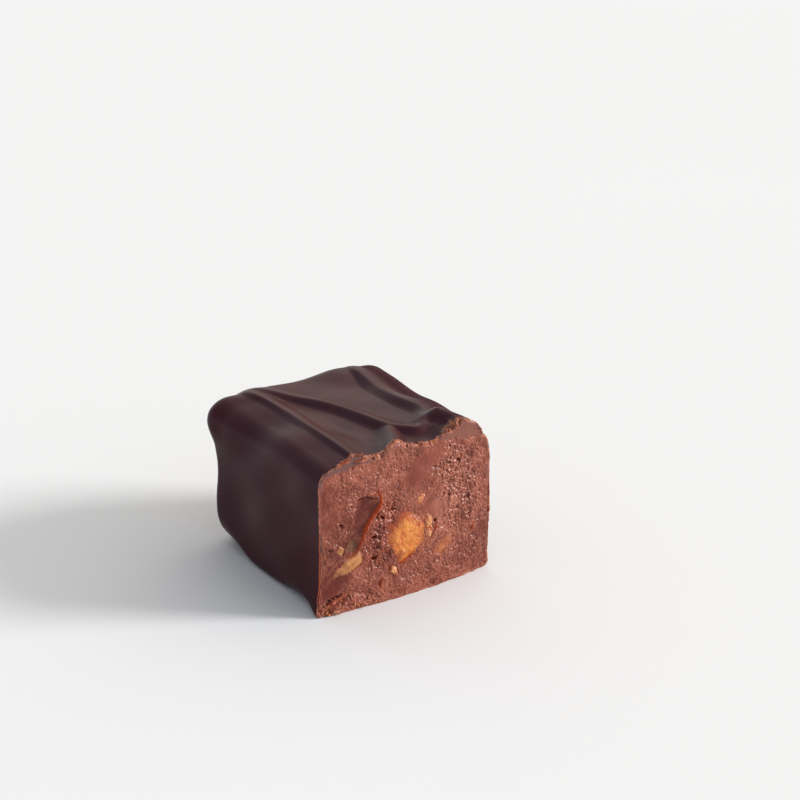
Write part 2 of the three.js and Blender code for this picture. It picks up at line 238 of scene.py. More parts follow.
def flare(points):
    """Moves the left side out by a bell at the foot of the cut and by a step towards the back, which is
    larger near the top. The fourth power of the way to the left side leaves the middle alone."""
    x, y, z = np.moveaxis(points, -1, 0)
    at_back = (BACK_FLARE + BACK_FLARE_HIGH * smooth(z, 11, 16.5)) * smooth(y, 0, LENGTH / 2)
    out = FOOT_FLARE * bell(y - CUT_Y, FLARE_REACH_BACK) * bell(z, FLARE_REACH_UP) + at_back
    return np.stack([x - out * np.clip(x / SIDE_LEFT, 0, 1) ** 4, y, z], -1)


def block_rings(outline_at, inset, rows, front, crowding=0.0):
    """Rings of points: rows counts those along the body, round the back edge and on the back end.
    Along the body a ring's share of the way is t plus crowding times (t squared minus t)."""
    back = LENGTH / 2 - inset
    shoulder = back - BACK_ROUND
    t = np.linspace(0, 1, rows[0] + 1)
    share = t + crowding * (t * t - t)
    x, z = outline_at(CUT_Y + (shoulder - CUT_Y) * share)
    y = front(x, z) * (1 - share[:, None]) + shoulder * share[:, None]
    body = np.stack([x, y, z], -1)

    turn = np.pi / 2 * np.arange(1, rows[1] + 1) / rows[1]
    inner = 1 - (np.arange(1, rows[2] + 1) / (rows[2] + 1)) ** END_CROWDING
    drawn_in = BACK_ROUND * np.concatenate([1 - np.cos(turn), np.ones(rows[2])])
    depth = shoulder + BACK_ROUND * np.concatenate([np.sin(turn), np.ones(rows[2])])
    shrink = np.concatenate([np.ones(rows[1]), inner])
    half_x = (SIDE_RIGHT - SIDE_LEFT) / 2 - inset
    half_z = HEIGHT / 2 - inset
    x, z = outline_at(np.array([back]))
    across = (x - MIDDLE_X) * ((1 - drawn_in / half_x) * shrink)[:, None]
    upward = (z - MIDDLE_Z) * ((1 - drawn_in / half_z) * shrink)[:, None]
    crown = BACK_CROWN * (1 - (across / half_x) ** 2) * (1 - (upward / half_z) ** 2)
    end = np.stack([MIDDLE_X + across, depth[:, None] + crown, MIDDLE_Z + upward], -1)
    pole = np.array([MIDDLE_X, back + BACK_CROWN, MIDDLE_Z])
    return np.concatenate([body, end]), pole


print("the cut swells forward to", cut_face(0.0, 0.0).round(2), "from", CUT_Y, "mm")

# %% [markdown]
# ## Faces and pieces
# A tube of rings has four-sided faces, and a point closes each end of it. All faces of a piece look
# outwards, so those of an inner wall are turned round. The points carry numbers too, which the materials
# read later. An image texture would need unwrapping, and numbers on the points don't.

# %% Faces between rings, and a mesh of them


def tube_faces(rows):
    """Four-sided faces between neighbouring rings of point numbers, each ring closed on itself."""
    after = np.roll(rows, -1, axis=1)
    return np.stack([rows[:-1], rows[1:], after[1:], after[:-1]], -1).reshape(-1, 4)


def pole_faces(ring, pole):
    """Triangles from a ring to the point that closes it."""
    return np.stack([ring, np.full(len(ring), pole), np.roll(ring, -1)], -1)


def turned(groups):
    """The same faces, looking the other way: their corners in reverse order."""
    return [faces[:, ::-1] for faces in groups]


def cup_faces(rows, pole):
    """A tube that a point closes at its last ring."""
    return [tube_faces(rows), pole_faces(rows[-1], pole)]


def capped_tube(rows, poles):
    """A tube that a point closes at each end."""
    return cup_faces(rows, poles[1]) + turned([pole_faces(rows[0], poles[0])])


def make_piece(name, points, faces, values):
    """A mesh object of points in millimetres, with a number for each point under each name in values."""
    mesh = bpy.data.meshes.new(name)
    corners = [corner for group in faces for corner in group.tolist()]
    mesh.from_pydata(((points + SHIFT) / PER_METRE).tolist(), [], corners)
    mesh.shade_smooth()
    for key, numbers in values.items():
        mesh.attributes.new(key, "FLOAT", "POINT").data.foreach_set("value", numbers.astype(np.float32))
    mesh.update()
    piece = bpy.data.objects.new(name, mesh)
    bpy.context.scene.collection.objects.link(piece)
    triangles = sum(len(group) * (group.shape[1] - 2) for group in faces)
    print(name, "has", len(points), "points and", triangles, "triangles")
    return piece


print("three rings of four points have", len(tube_faces(np.arange(12).reshape(3, 4))), "faces between them")

# %% [markdown]
# ## Drizzled threads
# Chocolate poured in a zigzag sets as rounded ridges with soft feet. They could be tubes laid on the top,
# but real threads melt into the coating, so here they lift the coating's own surface: the lift depends on
# how far a point lies from the thread's path.

# %% Paths of the threads
PAST_CUT = CUT_Y - 1.5
PATH_STEPS = 12


def on_top(*places):
    """Points on the coating's top: x, y and how far below the top they lie."""
    return np.array([[x, y, HEIGHT - drop] for x, y, drop in places])


def smooth_path(points):
    """A curve through the points: on each stretch, a cubic with the slopes of a centripetal spline."""
    padded = np.concatenate([[2 * points[0] - points[1]], points, [2 * points[-1] - points[-2]]])
    gap = np.linalg.norm(np.diff(padded, axis=0), axis=1)[:, None] ** 0.5
    before, here, there, beyond = padded[:-3], padded[1:-2], padded[2:-1], padded[3:]
    g0, g1, g2 = gap[:-2], gap[1:-1], gap[2:]
    slope_here = ((here - before) / g0 - (there - before) / (g0 + g1) + (there - here) / g1) * g1
    slope_there = ((there - here) / g1 - (beyond - here) / (g1 + g2) + (beyond - there) / g2) * g1
    t = np.linspace(0, 1, PATH_STEPS, endpoint=False)[None, :, None]
    here, there, slope_here, slope_there = (a[:, None, :] for a in (here, there, slope_here, slope_there))
    curve = here * (2 * t**3 - 3 * t**2 + 1) + slope_here * (t**3 - 2 * t**2 + t)
    curve = curve + there * (3 * t**2 - 2 * t**3) + slope_there * (t**3 - t**2)
    return np.concatenate([curve.reshape(-1, points.shape[1]), points[-1:]])


LEFT_RUN = smooth_path(on_top(
    (-7.1, PAST_CUT, 0), (-7.2, -6.3, 0), (-7.2, -0.8, 0), (-7.2, 4.8, 0), (-7.5, 7.8, 0),
    (-8.1, 10.4, 0.6)))
MIDDLE_RUN = smooth_path(on_top(
    (6.1, -7.4, 0), (5.3, -8.8, 0), (4.1, -9.2, 0), (2.8, -7.8, 0), (1.9, -6.3, 0), (1.2, -4.6, 0),
    (0.5, -2.4, 0), (-0.5, 0.7, 0), (-2.1, 3.7, 0), (-3.6, 6.7, 0), (-5.5, 9.7, 0), (-7.0, 11.2, 0.3),
    (-8.6, 12.2, 1.2)))
RIGHT_RUN = smooth_path(on_top(
    (6.1, -7.4, 0), (7.5, -4.8, 0), (7.5, -2.4, 0), (7.0, 0.2, 0), (6.8, 3.4, 0), (7.0, 6.6, 0),
    (7.1, 9.0, 0.1), (7.0, 11.2, 1.2)))
SHOULDER = smooth_path(on_top((-7.4, PAST_CUT, 0), (-7.3, -4.0, 0), (-7.3, 4.0, 0), (-7.8, 9.5, 0)))
DRAPE = smooth_path(on_top((-8.2, 9.4, 0), (-10.6, 11.2, 0.9), (-11.8, 11.6, 2.4)))
STUB = smooth_path(on_top((-2.2, PAST_CUT, 0), (-0.8, -11.4, 0), (0.4, -9.0, 0.1), (1.2, -6.9, 0.4)))
BACK_RISE = smooth_path(on_top((-6.0, 11.6, 0), (-1.0, 11.8, 0), (4.0, 11.6, 0.5)))
MOUND_LOW = smooth_path(on_top((6.4, PAST_CUT, 0), (6.2, -11.5, 0), (6.2, -9.8, 0)))
MOUND_HIGH = smooth_path(on_top((8.7, PAST_CUT, 0), (8.4, -10.4, 0), (7.8, -8.0, 0)))
print("the middle run is", round(np.linalg.norm(np.diff(MIDDLE_RUN, axis=0), axis=1).sum(), 1), "mm long")

# %% [markdown]
# ## How the coating rises
# A thread's left side is steeper than its right side, so it has two reaches. Where threads meet, the higher
# one wins softly. The poured coating itself isn't even either: it has slow waves.

# %% Lift of the coating along its threads
# each row: the path, its height, and how far it reaches to its left and to its right
THREADS = [
    (LEFT_RUN, 1.1, 1.3, 2.6), (MIDDLE_RUN, 0.75, 1.5, 2.4), (RIGHT_RUN, 0.65, 1.5, 2.6),
    (SHOULDER, 0.7, 4.6, 4.6), (DRAPE, 0.6, 3.2, 3.2), (BACK_RISE, 0.6, 6.0, 6.0), (STUB, 0.9, 2.0, 1.8),
    (MOUND_LOW, 0.7, 2.6, 2.6), (MOUND_HIGH, 1.75, 3.2, 3.2),
]
THREAD_BAND = 6.0
SHARP_POWER = 1.5
ROUND_POWER = 2.0
NEAREST = 1e-6
UNEVENNESS = 0.2


def distance_to(points, path):
    """Distance from each point to the nearest place on a path of straight bits, one bit at a time, and the
    side that the point lies on: 1 straight to the path's left, -1 to its right."""
    nearest = np.full(len(points), np.inf)
    side = np.zeros(len(points))
    for start, end in zip(path[:-1], path[1:]):
        along = end - start
        share = np.clip((points - start) @ along / (along @ along), 0, 1)
        offset = points - start - share[:, None] * along
        distance = np.maximum(np.linalg.norm(offset, axis=1), NEAREST)
        leftward = along[0] * offset[:, 1] - along[1] * offset[:, 0]
        side = np.where(distance < nearest, leftward / (np.hypot(*along[:2]) * distance), side)
        nearest = np.minimum(nearest, distance)
    return nearest, side


def thread_lift(points):
    """Each thread lifts by height times (1 - (distance / reach)^power)^2. The reach and the power on its
    left, where the crest is sharp, go over into those on its right. Together they lift by the fourth root of
    the sum of fourth powers."""
    total = np.zeros(len(points))
    high = points[:, 2] > HEIGHT - THREAD_BAND
    for path, height, left_reach, right_reach in THREADS:
        distance, side = distance_to(points[high], path)
        reach = right_reach + (left_reach - right_reach) * (1 + side) / 2
        power = (ROUND_POWER + SHARP_POWER - (ROUND_POWER - SHARP_POWER) * side) / 2
        share = np.clip(1 - (distance / reach) ** power, 0, 1)
        total[high] += (height * share**2) ** 4
    return total ** 0.25


def unevenness(points):
    """Long and short waves, each a product of two sines, that fade out towards the table."""
    x, y, z = points.T
    long = np.sin(0.33 * x + 0.21 * z + 0.9) * np.sin(0.36 * y - 0.17 * z + 0.4)
    short = np.sin(0.71 * y + 0.52 * z) * np.cos(0.63 * x - 0.4 * z + 1.1)
    return UNEVENNESS * (long + short / 2) * smooth(z, 0, 2.5)


print("lift in the middle of the middle run:", thread_lift(MIDDLE_RUN[60:61]).round(2), "mm")

# %% [markdown]
# ## Patches of the cut
# A knife tears a fudgy filling. It leaves smooth smears, grainy patches, and here a raised flap with a torn
# hollow beside it. Each patch is a soft ellipse with a wandering edge, and together they say how rough the
# cut is at a place. The coating shows as a thin border, thickest at the two top corners.

# %% Masks for the patches
# each row: a share, and an ellipse's middle, its half length and width, and its slope in degrees
DARK_SMEARS = [
    (1.0, (-5.8, 12.2), (2.7, 1.7), 65), (0.5, (-10.6, 13.6), (5.2, 1.3), 90),
    (0.95, (-10.2, 3.9), (3.0, 1.7), 50),
]
LIGHT_SMEARS = [(1.0, (2.9, 16.4), (3.9, 1.6), 42), (1.0, (3.9, 10.9), (2.3, 1.2), -55)]
SMEARS = DARK_SMEARS + LIGHT_SMEARS
TORN = [(1.0, (-3.5, 8.6), (4.7, 1.9), 72)]
COARSE = [(1.0, (7.4, 12.2), (6.2, 3.0), 100), (0.3, (5.5, 3.6), (6.0, 2.4), 12)]
# a painted patch of glints: lighter colour right of the walnut chunk, where many small highlights sparkle
PAINTED_GLINTS = [(1.0, (5.7, 10.5), (2.9, 1.9), 100)]
# darker patches: the smears' own darker tone, which on the flap also paints the shadow of its lip, more
# patches of darker tone, and painted shade in the hollow right of the flap's lip and between the walnut
# chunk and the torn hollow
DARK_TONES_AND_SHADE = DARK_SMEARS + [
    (0.55, (-8.0, 11.8), (2.6, 1.1), 90), (0.5, (-9.8, 8.4), (3.4, 1.7), 90),
    (1.0, (-10.2, 1.9), (1.6, 0.5), 22), (0.8, (-3.9, 9.0), (2.4, 0.8), 68),
    (0.7, (-1.9, 6.6), (2.0, 1.0), 70), (0.2, (2.0, 15.4), (2.8, 1.7), 42),
    (0.5, (3.9, 4.7), (2.0, 1.2), 60), (0.5, (7.6, 1.6), (6.2, 2.2), 0),
    (0.6, (11.0, 4.6), (4.2, 1.9), 80), (0.5, (8.9, 12.4), (5.0, 1.3), 90),
]
WANDER = [(0.2, 0.9, 21), (0.12, 0.4, 22)]
PATCH_EDGE = (0.6, 1.2)
BORDER_CORNER = 1.8
BORDER_THICK = 0.42
BORDER_EASE = 0.18


def patches(x, z, ellipses):
    """The largest of the ellipses' shares: a share holds inside its ellipse, and eases to 0 across the edge,
    which wanders by noise."""
    wander = bumps(x, z, WANDER)
    largest = np.zeros(np.shape(x))
    for share, middle, half, slope in ellipses:
        c = np.cos(np.radians(slope))
        s = np.sin(np.radians(slope))
        along = (x - middle[0]) * c + (z - middle[1]) * s
        aside = (z - middle[1]) * c - (x - middle[0]) * s
        inside = 1 - smooth(np.hypot(along / half[0], aside / half[1]) + wander, *PATCH_EDGE)
        largest = np.maximum(largest, share * inside)
    return largest


def coat_share(x, z):
    """1 where the coating shows on the cut, and 0 in the filling, by the distance in from a rounded box. The
    border is thicker at the top corners, thinner along the top, and gone at the foot."""
    out_x = abs(x - MIDDLE_X) - ((SIDE_RIGHT - SIDE_LEFT) / 2 - BORDER_CORNER)
    out_z = abs(z - MIDDLE_Z) - (HEIGHT / 2 - BORDER_CORNER)
    past_corner = np.hypot(np.maximum(out_x, 0), np.maximum(out_z, 0))
    inside = BORDER_CORNER - past_corner - np.minimum(np.maximum(out_x, out_z), 0)
    top = smooth(z, 15.5, 18)
    at_corners = 0.35 * (1 - smooth(x, -9, -6.5)) + 0.3 * smooth(x, 6.5, 9.5)
    thick = BORDER_THICK + top * (at_corners - 0.35 * bell(x - 1, 5))
    thick = thick - 0.5 * (1 - smooth(z, 0.6, 2)) + bumps(x, z, [(0.2, 0.8, 23)])
    shows = 1 - smooth(inside, thick - BORDER_EASE, thick + BORDER_EASE)
    return shows * (1 - 0.8 * top * bell(x + 0.8, 2.4))


print("smeared share at the flap:", patches(np.array([-5.8]), np.array([12.2]), SMEARS).round(2))

# %% [markdown]
# ## Large forms of the cut
# The knife folded a flap of filling to the left: it rises to a sharp edge, and beside it lies a torn hollow.
# Its upper end ducks under a small overhang, and a ledge was pressed out at the lower left corner. They
# could be sculpted, but as sums of bells and steps they stay easy to move.

# %% Flap, overhang, ledge and swellings
# places x, z along the flap's edge
FLAP_EDGE = np.array([
    (-8.2, 6.4), (-7.6, 7.6), (-7.1, 8.1), (-6.65, 8.9), (-6.4, 9.8), (-6.1, 10.7), (-5.4, 11.6),
    (-4.6, 12.3), (-3.95, 13.0), (-3.65, 13.7), (-3.6, 14.6)])
FLAP_TOP = 14.25
FLAP_RISE = 0.5
FLAP_CREST = 0.3
HOLLOW_DEPTH = 0.45
OVERHANG = 0.2
GROOVE_DEPTH = 0.22
LEDGE = 0.3
TORN_DEPTH = 0.22
SWELLINGS = [(0.26, 3.4, 31), (0.14, 1.5, 32)]


def flap_side(x, z):
    """How far right of the flap's edge a place lies, and 1 along the flap, fading at its ends."""
    along = smooth(z, 6.4, 8.2) * (1 - smooth(z, 14.1, 14.7))
    return x - np.interp(z, FLAP_EDGE[:, 1], FLAP_EDGE[:, 0]), along


def flap_top(x, z):
    """How far above the flap's upper edge a place lies, and 1 along that edge, fading at its ends."""
    line = FLAP_TOP + 0.12 * np.sin(2.1 * x + 1) + bumps(x, 0 * x, [(0.08, 0.5, 29)])
    return z - line, smooth(x, -7.9, -7.2) * (1 - smooth(x, -4.6, -4.0))


def flap_relief(x, z):
    """The flap rises to its edge as a bell plus an exponential and drops over a narrow step. The hollow
    beside it is a bell that fades towards the flap's top."""
    aside, along = flap_side(x, z)
    left_of_edge = np.minimum(aside, 0)
    over_edge = smooth(aside, -0.1, 0.12)
    raised = FLAP_RISE * bell(left_of_edge, 2.2) + FLAP_CREST * np.exp(left_of_edge / 0.4)
    hollow = HOLLOW_DEPTH * bell(aside, 1.3) * (1 - 0.8 * smooth(z, 11, 13.2))
    return (raised * (1 - over_edge) - hollow * over_edge) * along


def overhang_relief(x, z):
    """Above the flap's upper edge the cut bulges and falls off as an exponential; below it is a groove."""
    above, across = flap_top(x, z)
    bulge = OVERHANG * np.exp(-np.maximum(above, 0) / 0.5) * smooth(above, -0.03, 0.08)
    return (bulge - GROOVE_DEPTH * bell(above + 0.08, 0.12)) * across


def ledge_relief(x, z):
    """A ledge at the lower left: a step at its ragged top and a groove, a bell, just above it."""
    top = 0.4 + 1.3 * smooth(x, -12, -8.5) + 0.5 * soft_noise(x / 0.6, z / 3, 30)
    step = 1 - smooth(z, top - 0.3, top + 0.15)
    return LEDGE * (step - bell(z - top - 0.25, 0.3)) * (1 - smooth(x, -10.5, -5))


def long_relief(x, z):
    """Swellings, less high on the coating, minus the torn patch, plus the three forms above."""
    swell = bumps(x, z, SWELLINGS) * (1 - 0.6 * coat_share(x, z)) - TORN_DEPTH * patches(x, z, TORN)
    return swell + flap_relief(x, z) + overhang_relief(x, z) + ledge_relief(x, z)


flap_and_hollow = long_relief(np.array([-6.2, -5.0]), np.array([11.0, 11.0])).round(2)
print("relief at the flap and beside it:", flap_and_hollow, "mm")

# %% [markdown]
# ## Grain of the cut
# A Displace modifier could give one kind of roughness all over, but the patches differ. So the fine relief
# is a function of the place too: grains, crags, cracks and pits where the cut is open, and knife strokes
# where it is smeared. It also goes into the colour later, because grains catch light and pits hold shade.

# %% Grains, cracks, pits and strokes
# each row: a grain's size, its height, the share of it left on the smoothest cut, and a seed
GRAINS = [(0.46, 0.26, 0.1, 35), (0.25, 0.2, 0.55, 36)]
# each row: a pit's place x, z and its reach
PITS = [
    (-1.3, 11.5, 0.3), (-4.1, 11.4, 0.28), (-4.3, 8.8, 0.3), (-4.1, 7.5, 0.26), (-4.5, 6.1, 0.26),
    (-9.0, 11.4, 0.3), (-10.6, 8.6, 0.22), (-6.0, 6.9, 0.25), (4.3, 15.8, 0.24), (7.8, 15.7, 0.32),
    (6.5, 15.9, 0.24), (5.9, 11.7, 0.2), (-3.4, 11.2, 0.28), (-2.2, 11.9, 0.24), (11.2, 12.4, 0.2),
    (-9.9, 4.95, 0.24), (4.2, 8.7, 0.2), (4.15, 7.9, 0.22), (-10.7, 1.65, 0.26), (-10.1, 1.95, 0.24),
    (-9.5, 2.2, 0.2),
]
PIT_DEPTH = 0.35
CRAG_HEIGHT = 0.04
CRACK_DEPTH = 0.18
STROKE_HEIGHT = 0.05


def cracks(x, z):
    """1 along thin lines where one noise is near 0, in the places where another one is high."""
    line = 1 - smooth(abs(soft_noise(x / 0.75, z / 0.75, 41)), 0.0, 0.16)
    return line * smooth(soft_noise(x / 1.1, z / 1.1, 42), -0.1, 0.4)


def short_relief(x, z):
    """Grains are upturned bowls round their points, crags are folded noise. Both, and the cracks, are scaled
    by how open the cut is, strokes by how smeared it is. Sand is added all over, and pits are taken away."""
    smeared = patches(x, z, SMEARS)
    torn = patches(x, z, TORN)
    coat = coat_share(x, z)
    lower_left = (1 - smooth(z, 1.2, 2.6)) * (1 - smooth(x, -7, -2))
    rough = np.maximum.reduce([patches(x, z, COARSE), 0.85 * torn, lower_left])
    bent_x = x + bumps(x, z, [(0.13, 0.45, 33)])
    bent_z = z + bumps(x, z, [(0.13, 0.45, 34)])
    height = CRAG_HEIGHT * (0.5 - 2 * abs(soft_noise(bent_x / 0.9, bent_z / 0.9, 37)))
    for size, tall, least, seed in GRAINS:
        distance, number = grains(bent_x / size, bent_z / size, seed)
        height = height + tall * (0.35 - distance**2) * (0.2 + number) * (least + (1 - least) * rough)
    height = height - CRACK_DEPTH * cracks(bent_x, bent_z) * (0.25 + 0.75 * torn)
    strokes = STROKE_HEIGHT * soft_noise((x + z) / 5.0, (x - z) / 0.9, 40)
    sand = bumps(x, z, [(0.08, 0.15, 38)]) + bumps(bent_x, bent_z, [(0.05, 0.26, 44)])
    sand = sand * (0.7 + 0.3 * rough) * (1 - 0.7 * smeared) * (1 - 0.85 * coat)
    height = height * (1 - 0.9 * smeared) * (1 - 0.9 * coat) + strokes * smeared + sand
    ragged = bumps(x, z, [(0.35, 0.3, 39)])
    for pit_x, pit_z, reach in PITS:
        away = np.hypot(bent_x - pit_x, 1.5 * (bent_z - pit_z)) + ragged
        height = height - PIT_DEPTH * bell(np.maximum(away, 0), 0.9 * reach)
    return height


def relief(x, z):
    """How far the cut stands forward of its plain face: long plus short relief."""
    return long_relief(x, z) + short_relief(x, z)


pit_places = np.array(PITS)
print("lowest fine relief in a pit:", short_relief(pit_places[:, 0], pit_places[:, 1]).min().round(2), "mm")

# %% [markdown]
# ## Numbers for the colours
# The cut's colours go by the same patches as its relief, so that a smear is smooth and dark at one place.
# The materials could repeat those formulas as nodes, but here each point of the mesh carries the results.

# %% Numbers on the points of the cut
FULL_RIDGE = 0.12


def cut_values(x, z):
    """The numbers that the cut's colours go by, from 0 to 1 at each place: patches, the painted glow along
    the flap's edge, and the short relief over FULL_RIDGE, upwards as ridge for painted highlights on grains
    and downwards as hollow for painted shade in pits, with a painted shadow line under the overhang."""
    short = short_relief(x, z)
    aside, along = flap_side(x, z)
    above, across = flap_top(x, z)
    return {
        "smear": patches(x, z, SMEARS),
        # dark is a darker tone with painted shade, light a painted patch of glints
        "dark": patches(x, z, DARK_TONES_AND_SHADE),
        "light": patches(x, z, PAINTED_GLINTS),
        "torn": patches(x, z, TORN),
        "coarse": patches(x, z, COARSE),
        "coat": coat_share(x, z),
        "dull": 1 - smooth(z, 1.0, 3.0),
        "right": smooth(x, -2, 4),
        # a painted glow along the flap's edge, as if light came through its lip
        "glow": bell(aside + 0.12, 0.18) * along * (0.65 + 0.35 * smooth(z, 10.5, 13)),
        # ridge paints highlights on raised grains, hollow paints shade in pits and a shadow line under the
        # overhang
        "ridge": np.clip(short / FULL_RIDGE, 0, 1),
        "hollow": np.maximum(np.clip(-short / FULL_RIDGE, 0, 1), bell(above + 0.06, 0.1) * across),
    }


print("the cut carries", ", ".join(cut_values(np.zeros(1), np.ones(1))))

# %% [markdown]
# ## The coating
# The coating is a closed shell: its outside, the narrow rim that the knife cut, and the wall that the
# filling fits in. Brittle chocolate chips along a cut, so the top edge wanders to and fro and has shallow
# chips. The knife also drags a ragged lip of filling up over it. A Solidify modifier would give a smooth
# rim, so the rim has rings of its own.

# %% Torn edge, chips and the lip of filling
EDGE_COARSE = [(0.34, 1.2, 11), (0.2, 0.45, 12)]
EDGE_FINE = [(0.06, 0.25, 13), (0.08, 0.7, 17)]
LIP = [(0.3, 1.3, 18), (0.25, 0.4, 19), (0.15, 0.17, 24)]


def near_top(z, far, near):
    """0 where a place lies more than far below the top, and 1 where it lies less than near below it."""
    return smooth(z, HEIGHT - far, HEIGHT - near)


def torn_edge(x, z):
    """How far the coating's edge lies behind the cut: noise along the edge, strongest on top."""
    return (0.14 + bumps(x, z, EDGE_COARSE)) * near_top(z, 1.4, 0.2) + bumps(x, z, EDGE_FINE) + 0.08


def chips(x, z, behind):
    """0 to 1 where the top broke away behind the cut. behind is the distance from the cut's edge, and noise
    along the edge says how far back a chip reaches."""
    top = near_top(z, 1.2, 0.3) * smooth(x, -10.5, -9)
    reach = 0.3 + soft_noise(x / 1.6 + 7, behind / 4, 14) + bumps(x, behind, [(0.4, 0.5, 15)])
    return top * (1 - smooth(behind, 0.4 * np.maximum(reach, 0.05), np.maximum(reach, 0.12)))


def pulled_lip(x, z, behind):
    """Height of the ragged lip of filling that the knife pulled up past the top edge, and 0 to 1 where it
    covers the coating. It falls off behind the cut as a bell, which is wider at two piles of crumbs."""
    top = near_top(z, 0.8, 0.2) * smooth(x, -10, -8.5)
    piles = 0.7 * bell(x + 1.9, 1.5) + 1.1 * bell(x - 7.3, 1.7)
    fall = bell(behind, 0.22 + bumps(x, 0 * x, [(0.1, 0.6, 20)]) + piles)
    covers = top * smooth(fall + bumps(x, behind, [(0.25, 0.25, 25)]), 0.25, 0.5)
    return np.maximum(0.3 + bumps(x, behind, LIP), 0.04) * top * fall, covers


top_edge = torn_edge(np.linspace(-9, 9, 40), np.full(40, HEIGHT))
print("the torn edge lies up to", top_edge.max().round(2), "mm back")

# %% Rings of the coating
ARC_STEPS = [8, 14, 14, 10]
EDGE_STEPS = [88, 190, 96, 90]
SKIN_ROWS = (112, 12, 14)
SKIN_CROWDING = 0.5
WALL_ROWS = (4, 3, 1)
RIM_ROWS = 24
RIM_EASE = 0.35
FINER = 2
CHIP_DEPTH = 0.16


def skin_normals(rings):
    """Directions square to the surface, from the differences along and round the rings."""
    along = np.gradient(rings, axis=0)
    around = np.roll(rings, -1, axis=1) - np.roll(rings, 1, axis=1)
    normal = np.cross(along, around)
    normal[0, :, 1] = 0
    return normal / np.linalg.norm(normal, axis=2, keepdims=True)


def finer_ring(ring):
    """The ring with FINER points for each one, on straight lines between them."""
    step = np.arange(FINER)[:, None] / FINER
    return (ring[:, None] * (1 - step) + np.roll(ring, -1, axis=0)[:, None] * step).reshape(-1, 3)


def coating_skin():
    """The outside: rings of the block, moved along their normals by unevenness, threads and chips, and up by
    the lip. Also its pole, and 0 to 1 where it is chipped or covered."""
    rings, pole = block_rings(
        lambda y: outline(y, 0, ARC_STEPS, EDGE_STEPS), 0, SKIN_ROWS,
        lambda x, z: cut_face(x, z) + torn_edge(x, z), SKIN_CROWDING)
    flat = rings.reshape(-1, 3)
    x = flat[:, 0]
    z = flat[:, 2]
    behind = (rings[..., 1] - rings[:1, :, 1]).ravel()
    chipped = chips(x, z, behind)
    chip_depth = CHIP_DEPTH + bumps(x, behind, [(CHIP_DEPTH, 0.35, 16)])
    lift = (unevenness(flat) + thread_lift(flat) - chipped * chip_depth) * (z > 0)
    raised, covered = pulled_lip(x, z, behind)
    skin = rings + skin_normals(rings) * lift.reshape(rings.shape[:2])[..., None]
    skin[..., 2] = np.maximum(skin[..., 2] + raised.reshape(rings.shape[:2]), 0)
    return skin, pole, np.maximum(chipped, covered)


def coating_wall():
    """The wall that the filling fits in: rings of the block, one coating's thickness in, and their pole."""
    return block_rings(
        lambda y: outline(y, COAT, ARC_STEPS, EDGE_STEPS), COAT, WALL_ROWS,
        lambda x, z: cut_face(x, z) - relief(x, z))


def coating_rim(outer, inner):
    """Rings between the first ones of the outside and of the wall: straight in x and z, while y eases from
    the torn edge to the relief of the cut. Also how far in from the edge each place lies."""
    outer = finer_ring(outer)
    inner = finer_ring(inner)
    share = np.linspace(0, 1, RIM_ROWS + 1)[1:-1, None]
    x = outer[:, 0] * (1 - share) + inner[:, 0] * share
    z = outer[:, 2] * (1 - share) + inner[:, 2] * share
    inward = share * np.hypot(outer[:, 0] - inner[:, 0], outer[:, 2] - inner[:, 2])
    plain = cut_face(x, z) - relief(x, z)
    y = plain + (outer[:, 1] - plain) * (1 - smooth(inward, 0, RIM_EASE))
    return np.stack([x, y, z], -1), inward


print("each ring of the coating has", sum(ARC_STEPS) + sum(EDGE_STEPS), "points")

# %% Build the coating


def finer_faces(ring, finer):
    """Faces with two corners on a ring and the rest on the ring with FINER points for each one."""
    columns = [np.roll(finer, -k)[::FINER] for k in range(FINER, -1, -1)]
    return np.stack([np.roll(ring, -1), *columns, ring], -1)


def coating_values(points, first_ring, chipped, inward):
    """Beside the cut's numbers: cut is 1 where the coating is cut or chipped, edge where a painted orange
    glow lies on its torn edge, rubbed where the right side is dull, and gloss where the top shines."""
    x, y, z = points.T
    values = cut_values(x, z)
    values["coat"][first_ring] = 1
    values["cut"] = np.ones(len(points))
    values["cut"][:len(chipped) + 1] = np.concatenate([chipped, [0]])
    values["cut"][first_ring] = 1
    values["rubbed"] = smooth(x, 7.5, 9.5)
    near_cut = 1 - smooth(y, CUT_Y + 1, CUT_Y + 8)
    right_share = 0.5 + 0.5 * smooth(x, -9, -7)
    values["gloss"] = near_top(z, 2.5, 0.5) * (1 - values["rubbed"]) * (1 - 0.65 * near_cut) * right_share
    # the torn edge's painted orange glow lies in beads along it
    beads = smooth(soft_noise(x / 0.35, z / 0.35, 26), -0.7, 0.4)
    neither = np.zeros(len(points) - len(chipped) - inward.size)
    values["edge"] = np.concatenate([chipped, neither, 1 - smooth(inward.ravel(), 0.05, 0.32)]) * beads
    return values


def build_coating():
    """Joins the rings of the outside, the wall and the rim into one closed mesh."""
    skin, pole, chipped = coating_skin()
    wall, wall_pole = coating_wall()
    rim, inward = coating_rim(skin[0], wall[0])
    groups = [group.reshape(-1, 3) for group in (skin, pole, wall, wall_pole, rim)]
    points = np.concatenate(groups)
    ends = np.cumsum([len(group) for group in groups])
    numbers = np.split(np.arange(len(points)), ends[:-1])
    skin_rows, pole_number, wall_rows, wall_pole_number, rim_rows = numbers
    around = skin.shape[1]
    skin_rows = skin_rows.reshape(-1, around)
    wall_rows = wall_rows.reshape(-1, around)
    rim_rows = rim_rows.reshape(-1, around * FINER)
    faces = [
        *cup_faces(skin_rows, pole_number[0]),
        *turned(cup_faces(wall_rows, wall_pole_number[0])),
        *turned([tube_faces(rim_rows), finer_faces(wall_rows[0], rim_rows[-1])]),
        finer_faces(skin_rows[0], rim_rows[0]),
    ]
    values = coating_values(points, skin_rows[0], chipped, inward)
    return skin[0], make_piece("dark_coating", flare(points), faces, values)


coating_edge, coating = build_coating()

